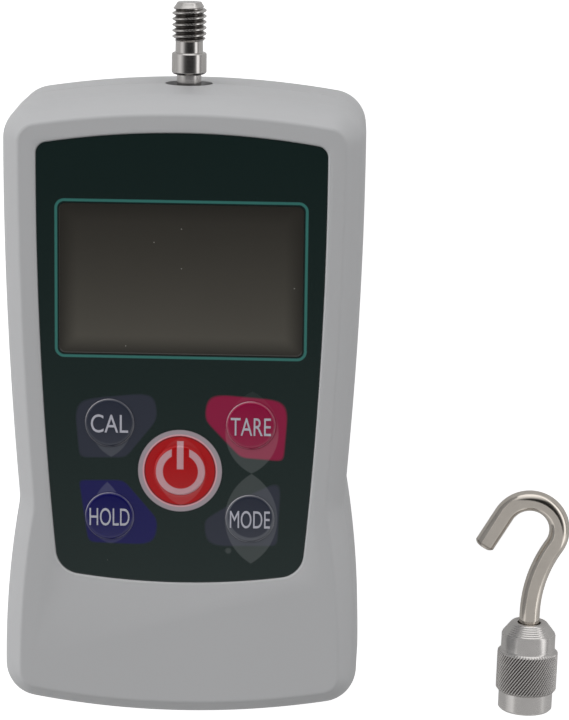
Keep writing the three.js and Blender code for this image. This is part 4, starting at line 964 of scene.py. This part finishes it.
def windowPane():
    # Rounded rectangles one above the other: a flange under the film, and a raised face flush with it
    low, ledge, high = window["flangeZ"], housing["recessZ"], housing["filmZ"]
    wide, tall = (2 * half for half in window["half"])
    flange = (wide + window["flange"], tall + window["flange"], window["flangeCorner"])
    levels = [(*flange, low), (*flange, ledge), (wide, tall, window["edge"][0][1], ledge)]
    levels += [(wide - less, tall - less, corner, high - lower) for less, corner, lower in window["edge"]]
    item = makeObject("windowPane", rectangleStack(levels, window["centre"]))
    return dress(item, "window", "housing", ["display_window"])


def domeHeight(key, distance):
    # The cap's top: level with the film, up a slope that runs as half a cosine wave, and a low crown
    slope = np.clip((key["dome"] - distance) / keyForm["slope"], 0, 1)
    crown = np.clip(1 - (distance / key["dome"]) ** 2, 0, 1)
    return housing["filmZ"] + key["rise"] * (1 - np.cos(math.pi * slope)) / 2 + keyForm["crown"] * crown


def keyCap(name, key):
    # A profile turned about the key's middle: stem, flange under the film, and the domed top
    k, radius, dome = keyForm, key["radius"], key["dome"]
    levelSteps, slopeSteps, crownSteps = k["steps"]
    level = np.linspace(radius, dome, levelSteps)[:-1] if dome < radius else []
    slope = np.linspace(dome, dome - k["slope"], slopeSteps)
    crown = np.linspace(dome - k["slope"], k["innermost"], crownSteps)
    across = np.concatenate([level, slope, crown[1:]])
    stem = [(k["stem"] - k["stemEdge"], k["stemFoot"]), (k["stem"], k["stemFoot"] + k["stemEdge"]),
            (k["stem"], k["flangeFoot"]), (key["flange"], k["flangeFoot"]), (key["flange"], k["flangeTop"]),
            (radius, k["flangeTop"])]
    profile = np.concatenate([stem, np.stack([across, domeHeight(key, across)], 1)])
    item = makeObject(joinedName(name) + "KeyCap", lathe(profile, smooth, (*key["at"], 0)))
    return dress(item, "key", name + "_key", ["key_" + name])


def keyLegend(name, key):
    # Letters fitted to a rectangle, then laid on the cap's curve as a thin skin
    curve = bpy.data.curves.new("letters", "FONT")
    curve.body = key["legend"]
    curve.extrude = legendForm["half"]
    curve.resolution_u = legendForm["curveSteps"]
    source = newObject("letters", curve)
    mesh = finalMesh(source)
    bpy.data.objects.remove(source)
    points = np.empty(len(mesh.vertices) * 3)
    mesh.vertices.foreach_get("co", points)
    points = points.reshape(-1, 3)
    low, high = points[:, :2].min(0), points[:, :2].max(0)
    middle = np.array([key["at"][0], key["legendY"]])
    flat = ((points[:, :2] - low) / (high - low) - 0.5) * np.array(key["size"]) + middle
    distance = np.linalg.norm(flat - np.array(key["at"]), axis=1)
    lift = np.where(points[:, 2] > 0, legendForm["above"], legendForm["below"])
    height = domeHeight(key, np.minimum(distance, key["radius"] - legendForm["edge"])) + lift
    mesh.vertices.foreach_set("co", (np.column_stack([flat, height]) * mm).ravel())
    faceOutward(mesh, legendForm["join"] * mm)
    item = newObject(joinedName(name) + "Legend", mesh)
    return dress(item, "legend", name + "_key")


frontHousing()
rearHousing()
filmPanel()
windowPane()
for title, key in keys.items():
    keyCap(title, key)
    if "legend" in key:
        keyLegend(title, key)
print("housing, film, window and keys made")

# Measuring shaft: neck, collar, relief and stud
shaft = {
    "tail": 2.0, "tailY": 37.375, "shoulder": 4.5, "shoulderY": 44.375, "neck": 2.13,
    "neckY": 46.175, "flare": 0.12, "collar": 3.03, "collarY": 56.1, "collarTopY": 59.8, "chamfer": 0.3,
    "topChamfer": 0.22,
    "relief": 2.38, "slack": 0.02, "threadY": 62.1, "runIn": 0.33, "fullAfter": 0.25, "tipY": 68.5,
    "crest": 2.97, "root": 2.36, "pitch": 1.0, "phase": 0.2, "rows": 220,
    # distance below the tip and radius there: a rounded edge, a lead-in, then the full thread
    "leadIn": [(0, 2.0), (0.04, 2.07), (0.15, 2.15), (0.5, 2.37), (0.95, 2.69), (1.3, 2.97)],
    "endRadii": (1.65, 1.2, 0.6),
}


def threadDepth(height, angles, start, pitch, steep=2.9, flat=0.3):
    # Share of the full depth at a height and an angle: 0 on a crest and 1 at a root, one turn a pitch
    phase = ((height - start) / pitch - angles / (2 * math.pi)) % 1
    return np.clip(np.abs(phase - 0.5) * steep - flat, 0, 1)


def measuringShaft():
    # Rings about +Y: a turned body, the thread as rows whose radius drops by its depth, and a flat end
    s = shaft
    runIn = s["threadY"] - s["runIn"]
    body = roundedLine([
        (s["tail"] - s["chamfer"], s["tailY"]), (s["tail"], s["tailY"] + s["chamfer"], 0.1),
        (s["tail"], s["shoulderY"], 0.1), (s["shoulder"], s["shoulderY"], 0.15),
        (s["shoulder"], s["neckY"], 0.15), (s["neck"], s["neckY"], 0.1),
        (s["neck"], s["collarY"] - s["flare"], 0.05),
        (s["collar"] - s["chamfer"], s["collarY"], 0.05), (s["collar"], s["collarY"] + s["chamfer"], 0.08),
        (s["collar"], s["collarTopY"] - s["topChamfer"], 0.06),
        (s["collar"] - s["topChamfer"], s["collarTopY"], 0.06),
        (s["relief"] + s["slack"], s["collarTopY"] + 2 * s["slack"], 0.05),
        (s["relief"], runIn - s["slack"]),
    ], 3, 0.05)
    turnY = np.linspace(runIn, s["tipY"], s["rows"])[:, None]
    below, lead = np.array(s["leadIn"]).T
    rise = np.interp(turnY, [runIn, s["threadY"] + s["fullAfter"]], [s["relief"], s["crest"]])
    envelope = np.minimum(np.interp(s["tipY"] - turnY, below, lead), rise)
    cut = threadDepth(turnY, around(smooth), s["threadY"] + s["phase"], s["pitch"]) * (s["crest"] - s["root"])
    sections = [columns(body), (np.minimum(envelope, s["crest"] - cut), turnY),
                columns([(radius, s["tipY"]) for radius in s["endRadii"]])]
    item = makeObject("turnedShaft", ringSurface(turnedRings(sections, smooth, (0, 0, shaftZ), "y")))
    return dress(item, "shaft", "shaft", ["measuring_shaft"])


# Hook adapter, drawn along its own +Y from its foot and laid beside the gauge
adapter = {
    "plain": 4.9, "edge": 0.4, "knurl": 5.5, "knurlFrom": 3.6,
    "knurlTo": 11.3, "knurlStep": 0.45, "knurlEase": 0.42, "knurlEnds": (0.2, 0.4), "knurlMargin": 0.5,
    "knurlRows": 96, "lip": 0.05, "lipEnd": 0.1, "runOut": 0.3, "coneEdge": 0.25,
    "coneFrom": 14.45, "coneStep": 0.12, "length": 16.6, "mouth": 3.1, "bore": 3.15, "boreDepth": 10.5,
    "neckBore": 2.1, "teeth": 60, "helix": 36, "knurlDepth": 0.3, "stepsPerTooth": 8,
    # share left flat between the grooves of each of the two sets, and the depth of the second
    "lands": (0.25, 0.4), "crossShare": 0.35,
    "ringPitch": 0.24, "ringDepth": 0.05, "ringShares": (0.05, 0.93), "stepsPerRing": 4,
    # the mouth's outer edge, and how far its inner edge stands in and drops to the wire's hole
    "mouthEdge": (0.12, 0.15), "mouthIn": 0.25, "mouthDrop": 0.2,
}
hook = {
    "wire": 1.85, "head": 2.45, "headY": (8.9, 10.2), "straightEnd": 18.3, "neckRadius": 23.3,
    "neckAngle": 32.7, "bowlRadius": 5.4, "bowlAngle": 150.4, "tip": 7.1, "tipRound": 0.75, "tipEnd": 0.1,
    "steps": 48, "rows": 150, "tipSteps": 6,
    # how far the head's lower and upper edge stand in and up or down
    "headEdges": ((0.25, 0.2), (0.15, 0.15)),
    # out from the wire and on from the head: the fillet's start, its end, and where the plain run starts
    "fillet": ((0.1, 0.02), (0, 0.1)), "runFrom": 0.4, "runTo": 0.5,
}


def laidDown(rings):
    # Turned about +Z by the lean, then moved to the adapter's place
    turn = math.radians(-adapterLean)
    x, y, z = rings[..., 0], rings[..., 1], rings[..., 2]
    moved = [x * math.cos(turn) - y * math.sin(turn), x * math.sin(turn) + y * math.cos(turn), z]
    return np.stack(moved, -1) + np.array(adapterPlace)


def grooveShape(turns, land):
    # A groove is deepest where its phase is a whole number, and has a flat land on both sides
    return np.clip((np.abs(turns % 1 - 0.5) * 2 - land) / (1 - land), 0, 1)


def hookCoupling():
    # Rings about +Y: a profile round the outside and back through the bore. Each radius on the knurled
    # band drops by the deeper of two sets of grooves that climb opposite ways.
    a = adapter
    plain, start, end, length, bore = a["plain"], a["knurlFrom"], a["knurlTo"], a["length"], a["bore"]
    foot = roundedLine([(bore + a["edge"], 0), (plain - a["edge"], 0, 0.08), (plain, a["edge"], 0.12),
                        (plain, start)], 3, 0.05)
    ends = np.array(a["knurlEnds"])
    rows = np.linspace(start + a["knurlMargin"], end - a["knurlMargin"], a["knurlRows"])
    rows = np.concatenate([start + ends, rows, (end - ends)[::-1]])
    ease = np.clip(np.minimum(rows - start, end - rows) / a["knurlEase"], 0, 1)
    band = np.stack([a["knurl"] - a["knurlEase"] * (1 - ease), rows], 1)
    step = a["knurl"] - a["knurlStep"]
    coneTop = plain - a["coneStep"]
    after = roundedLine([(step, end), (plain + a["lip"], end + a["lipEnd"]), (plain, end + a["runOut"]),
                         (plain, a["coneFrom"] - a["coneEdge"]), (coneTop, a["coneFrom"], 0.05)], 3, 0.05)
    ringCount = int((length - a["coneFrom"] - a["knurlMargin"]) / a["ringPitch"])
    share = np.linspace(*a["ringShares"], ringCount * a["stepsPerRing"])
    ridge = a["ringDepth"] * (np.arange(len(share)) % a["stepsPerRing"] < a["stepsPerRing"] / 2)
    cone = np.stack([coneTop + (a["mouth"] - coneTop) * share + ridge,
                     a["coneFrom"] + (length - a["coneFrom"]) * share], 1)
    edgeOut, edgeDown = a["mouthEdge"]
    inside = roundedLine([
        (a["mouth"] + edgeOut, length - edgeDown), (a["mouth"] - a["mouthIn"], length, 0.1),
        (a["neckBore"], length - a["mouthDrop"], 0.1), (a["neckBore"], a["boreDepth"]),
        (bore, a["boreDepth"]), (bore, a["edge"]),
    ], 3, 0.05)
    radius, height = columns(np.concatenate([foot, [(step, start)], band, after, cone, inside]))
    strength = np.zeros_like(radius)
    first = len(foot) + 1
    strength[first:first + len(band), 0] = ease ** 2
    count = a["teeth"] * a["stepsPerTooth"]
    climb = a["teeth"] * math.tan(math.radians(a["helix"])) / (2 * math.pi * a["knurl"])
    turns = around(count) * a["teeth"] / (2 * math.pi)
    groove = np.maximum(grooveShape(turns - height * climb, a["lands"][0]),
                        a["crossShare"] * grooveShape(turns + height * climb + 0.5, a["lands"][1]))
    rings = turnedRings([(radius - a["knurlDepth"] * strength * groove, height)], count, axis="y")
    item = makeObject("knurledCoupling", ringSurface(laidDown(rings), looped=True))
    return dress(item, "coupling", "coupling", ["hook_coupling"], 50)


def hookPath(along):
    # Middle line and heading at each distance from the straight's start: straight, then a bend to
    # the right, the bowl back to the left, and a straight tip along the last heading
    h = hook
    neck, bowl = math.radians(h["neckAngle"]), math.radians(h["neckAngle"] + h["bowlAngle"])
    ends = np.cumsum([h["straightEnd"] - h["headY"][0], h["neckRadius"] * neck, h["bowlRadius"] * bowl])
    bend = np.clip((along - ends[0]) / h["neckRadius"], 0, neck)
    sweep = np.clip((along - ends[1]) / h["bowlRadius"], 0, bowl)
    heading = math.pi / 2 - bend + sweep
    last = np.maximum(along - ends[2], 0)
    turned = sweep - neck
    x = h["neckRadius"] * (1 - np.cos(bend)) + h["bowlRadius"] * (np.cos(turned) - math.cos(neck))
    y = h["headY"][0] + np.minimum(along, ends[0]) + h["neckRadius"] * np.sin(bend)
    y = y + h["bowlRadius"] * (np.sin(turned) + math.sin(neck))
    return x + last * np.cos(heading), y + last * np.sin(heading), heading, ends[2] + h["tip"]


def hookWire():
    # Circles square to the path, of the profile's radius at each distance along it
    h = hook
    total = hookPath(np.zeros(1))[3]
    wire, tipRound, headEnd = h["wire"], h["tipRound"], h["headY"][1] - h["headY"][0]
    (lowIn, lowUp), (highIn, highDown) = h["headEdges"]
    head = [(h["head"] - lowIn, 0), (h["head"], lowUp), (h["head"], headEnd - highDown),
            (h["head"] - highIn, headEnd)]
    head += [(wire + out, headEnd + on) for out, on in h["fillet"]]
    run = [(wire, value) for value in np.linspace(headEnd + h["runFrom"], total - h["runTo"], h["rows"])]
    tip = [(wire - tipRound * (1 - math.cos(angle)), total - tipRound + tipRound * math.sin(angle))
           for angle in np.linspace(0, math.pi / 2, h["tipSteps"])]
    radius, along = columns(head + run + tip + [(wire - tipRound - h["tipEnd"], total)])
    x, y, heading, _ = hookPath(along)
    side = radius * np.cos(around(h["steps"]))
    rings = [x + side * np.sin(heading), y - side * np.cos(heading), radius * np.sin(around(h["steps"]))]
    item = makeObject("hookWire", ringSurface(laidDown(np.stack(rings, -1))))
    return dress(item, "wire", "hook_wire", ["hook"])


# Screws in their wells and threaded bushes in the back, heights up from the back
screw = {
    "head": 2.3, "headEdge": 0.3, "headFrom": 3.9, "headTo": 6, "shank": 1.22, "crest": 1.24,
    "threadDepth": 0.3, "threadFrom": 6.1, "threadTo": 19.6, "pitch": 0.8, "rows": 136, "steps": 32,
    "end": (0.5, 20.0),
    "slot": (3, 0.7), "slotFrom": 3, "slotTo": 4.95, "slotTaper": 0.85, "slotCorners": (0.15, 0.12),
}
insert = {
    "mouth": 1.7, "radius": 3, "chamfer": 0.15, "flange": 4.1, "flangeFrom": 3.4, "length": 4.6, "end": 1.6,
    "bore": 1.36, "boreTop": 4.3, "threadDepth": 0.16, "threadFrom": 4.2, "threadTo": 0.45, "pitch": 0.5,
    "rows": 76, "steps": 48, "countersink": (1.4, 0.3),
}


def caseScrew(name, place):
    # Rings about +Z: a round head, a shank whose radius drops by the thread's depth, and a small end.
    # Two tapered slots cut the cross.
    s = screw
    head = roundedLine([
        (s["head"] - s["headEdge"], s["headFrom"]), (s["head"], s["headFrom"] + s["headEdge"], 0.2),
        (s["head"], s["headTo"], 0.1), (s["shank"], s["headTo"]),
    ], 3, 0.05)
    turnZ = np.linspace(s["threadFrom"], s["threadTo"], s["rows"])[:, None]
    depth = s["threadDepth"] * threadDepth(turnZ, around(s["steps"]), s["threadFrom"], s["pitch"])
    thread = s["crest"] - depth * np.clip((turnZ - s["threadFrom"]) / s["pitch"], 0, 1)
    sections = [columns(head), (thread, turnZ), columns([s["end"]])]
    rings = turnedRings(sections, s["steps"], (*place, 0))
    item = makeObject("caseScrew" + joinedName(name), ringSurface(rings))
    corner, smallCorner = s["slotCorners"]
    for size in [s["slot"], s["slot"][::-1]]:
        small = (size[0] * s["slotTaper"], size[1] * s["slotTaper"])
        levels = [(*size, corner, s["slotFrom"]), (*size, corner, s["headFrom"]),
                  (*small, smallCorner, s["slotTo"])]
        combine(item, [rectangleStack(levels, place, 3)])
    return dress(item, "screw", "housing", ["case_screw_" + name])


def standInsert(name, place):
    # Rings about +Z, up the outside of a flanged bush and back down its bore, whose radius grows by the
    # thread's depth. Its mouth is flush with the back.
    s = insert
    outer = roundedLine([
        (s["mouth"], 0), (s["radius"] - s["chamfer"], 0, 0.06), (s["radius"], s["chamfer"], 0.06),
        (s["radius"], s["flangeFrom"]), (s["flange"], s["flangeFrom"]), (s["flange"], s["length"], 0.1),
        (s["end"], s["length"]), (s["bore"], s["boreTop"]),
    ], 3, 0.04)
    turnZ = np.linspace(s["threadFrom"], s["threadTo"], s["rows"])[:, None]
    thread = s["bore"] + s["threadDepth"] * threadDepth(turnZ, -around(s["steps"]), 0, s["pitch"])
    sections = [columns(outer), (thread, turnZ), columns([s["countersink"]])]
    rings = turnedRings(sections, s["steps"], (*place, 0))
    item = makeObject("standInsert" + joinedName(name), ringSurface(rings, looped=True))
    return dress(item, "brass", "housing", ["stand_insert_" + name])


measuringShaft()
hookCoupling()
hookWire()
for title, place in casePosts.items():
    caseScrew(title, place)
for title, place in insertPlaces.items():
    standInsert(title, place)
print("shaft, hook adapter, screws and inserts made")

# Plain pale floor, white behind everything, and soft light from the top left
studio = {
    "sky": 0.45,
    "skyTilt": 0.5,  # how much brighter the sky is toward the top of the gauge than the mean
    "floorHalf": 3000,
    "floorZ": -0.02,
    "floorTone": 0.6,
    "floorRoughness": 0.9,
    # how bright the floor is by itself, by what looks at it
    "floorGlow": {"Is Camera Ray": 0.8, "Is Glossy Ray": 0.12, "Is Diffuse Ray": 0.08,
                  "Is Transmission Ray": 0.8},
    # direction that each lamp comes from; its length is the share of full brightness that it gives
    "lamps": {"leftLamp": (-0.73, 0, 0.06), "endLamp": (0, 0.54, 0.06), "rightLamp": (0.2, 0, 0.06)},
    # pale card above the hook adapter, seen only in reflections
    "card": {"corners": [(34, -130), (150, -130), (150, -103), (34, 15)], "height": 30.5, "tone": 0.02,
             "glow": 0.5},
    "softness": 70,
    # brightness of the room in reflections, by angle from straight up toward +X
    "room": [(-125, 0.27), (-93, 0.43), (-76, 0.72), (-60, 1.0), (-50, 0.8), (-39, 0.42), (-26, 0.1),
             (-7, 0.02), (26, 0.02), (40, 0.08), (51, 0.4), (58, 1.6), (68, 1.6), (76, 0.6), (85, 0.3),
             (115, 0.3)],
    # its brightness toward the foot and toward the top, as slopes and starts, the foot's faded low down
    "footRoom": [(-2.8, -0.42), (-8.0, -1.9)], "footFade": (3.3, 2.5),
    "topRoom": (2.4, -1.3), "topStrength": 1.4,
}


def flatPiece(name, corners, height, finish, tone, driftScale, drift):
    # A flat piece of the studio with four corners, that can glow white
    mesh = bpy.data.meshes.new(name)
    mesh.from_pydata([(x * mm, y * mm, height * mm) for x, y in corners], [], [(0, 1, 2, 3)])
    material, where, shader = startMaterial(finish)
    colour = drifting(where, (tone, tone, tone, 1), driftScale, drift)
    feed(shader, {"Base Color": colour, "Emission Color": (1, 1, 1, 1)})
    mesh.materials.append(material)
    return newObject(name, mesh), shader


def makeFloor():
    # A square that glows by the sum of each kind of ray times its own strength
    half = studio["floorHalf"]
    corners = [(-half, -half), (half, -half), (half, half), (-half, half)]
    item, shader = flatPiece("floor", corners, studio["floorZ"], "paleFloor", studio["floorTone"],
                             driftScale=4.0, drift=0.01)
    rays = shader.id_data.nodes.new("ShaderNodeLightPath").outputs
    glow = 0.0
    for ray, strength in studio["floorGlow"].items():
        glow = sloped(rays[ray], strength, glow)
    feed(shader, {"Roughness": studio["floorRoughness"], "Emission Strength": glow})


def makeWorld():
    # White to the camera, an even sky that is brighter toward the top for plain surfaces, and a
    # toned room for shiny ones
    world = bpy.data.worlds.new("studio")
    world.use_nodes = True
    bpy.context.scene.world = world
    graph = world.node_tree.nodes
    graph.clear()
    direction = axes(graph.new("ShaderNodeTexCoord").outputs["Generated"])
    turn = calc("ARCTAN2", direction[0], direction[2])
    ramp = add("ShaderNodeValToRGB", {0: sloped(turn, 0.5 / math.pi, 0.5)})
    stops = ramp.color_ramp.elements
    for index, (angle, tone) in enumerate(studio["room"]):
        stop = stops[index] if index < 2 else stops.new(1)
        stop.position = 0.5 + angle / 360
        stop.color = (tone, tone, tone, 1)
    low = larger(*(sloped(direction[1], *stretch, clamp=True) for stretch in studio["footRoom"]))
    low = times(low, sloped(direction[1], *studio["footFade"], clamp=True))
    high = times(sloped(direction[1], *studio["topRoom"], clamp=True), studio["topStrength"])
    room = larger(larger(ramp.outputs[0], low), high)
    sky = sloped(direction[1], studio["sky"] * studio["skyTilt"], studio["sky"])
    rays = graph.new("ShaderNodeLightPath").outputs
    white = larger(rays["Is Camera Ray"], rays["Is Transmission Ray"])
    tone = mixValue(white, mixValue(rays["Is Glossy Ray"], sky, room), 1.0)
    background = add("ShaderNodeBackground", {"Color": (1, 1, 1, 1), "Strength": tone})
    add("ShaderNodeOutputWorld", {0: background.outputs[0]})


def makeLight(name, direction):
    # A wide distant lamp that isn't itself seen in reflections
    data = bpy.data.lights.new(name, "SUN")
    data.energy = math.pi * Vector(direction).length
    data.angle = math.radians(studio["softness"])
    item = newObject(name, data)
    item.rotation_euler = Vector(direction).to_track_quat("Z", "Y").to_euler()
    item.visible_glossy = False


def makeCard():
    # A card with an even glow, seen by shiny surfaces only
    card = studio["card"]
    item, shader = flatPiece("topCard", card["corners"], card["height"], "cardWhite", card["tone"],
                             driftScale=20.0, drift=0.02)
    feed(shader, {"Emission Strength": card["glow"]})
    item.visible_camera = item.visible_diffuse = item.visible_shadow = item.visible_transmission = False


makeFloor()
makeWorld()
for lamp, direction in studio["lamps"].items():
    makeLight(lamp, direction)
makeCard()
print("stage made")
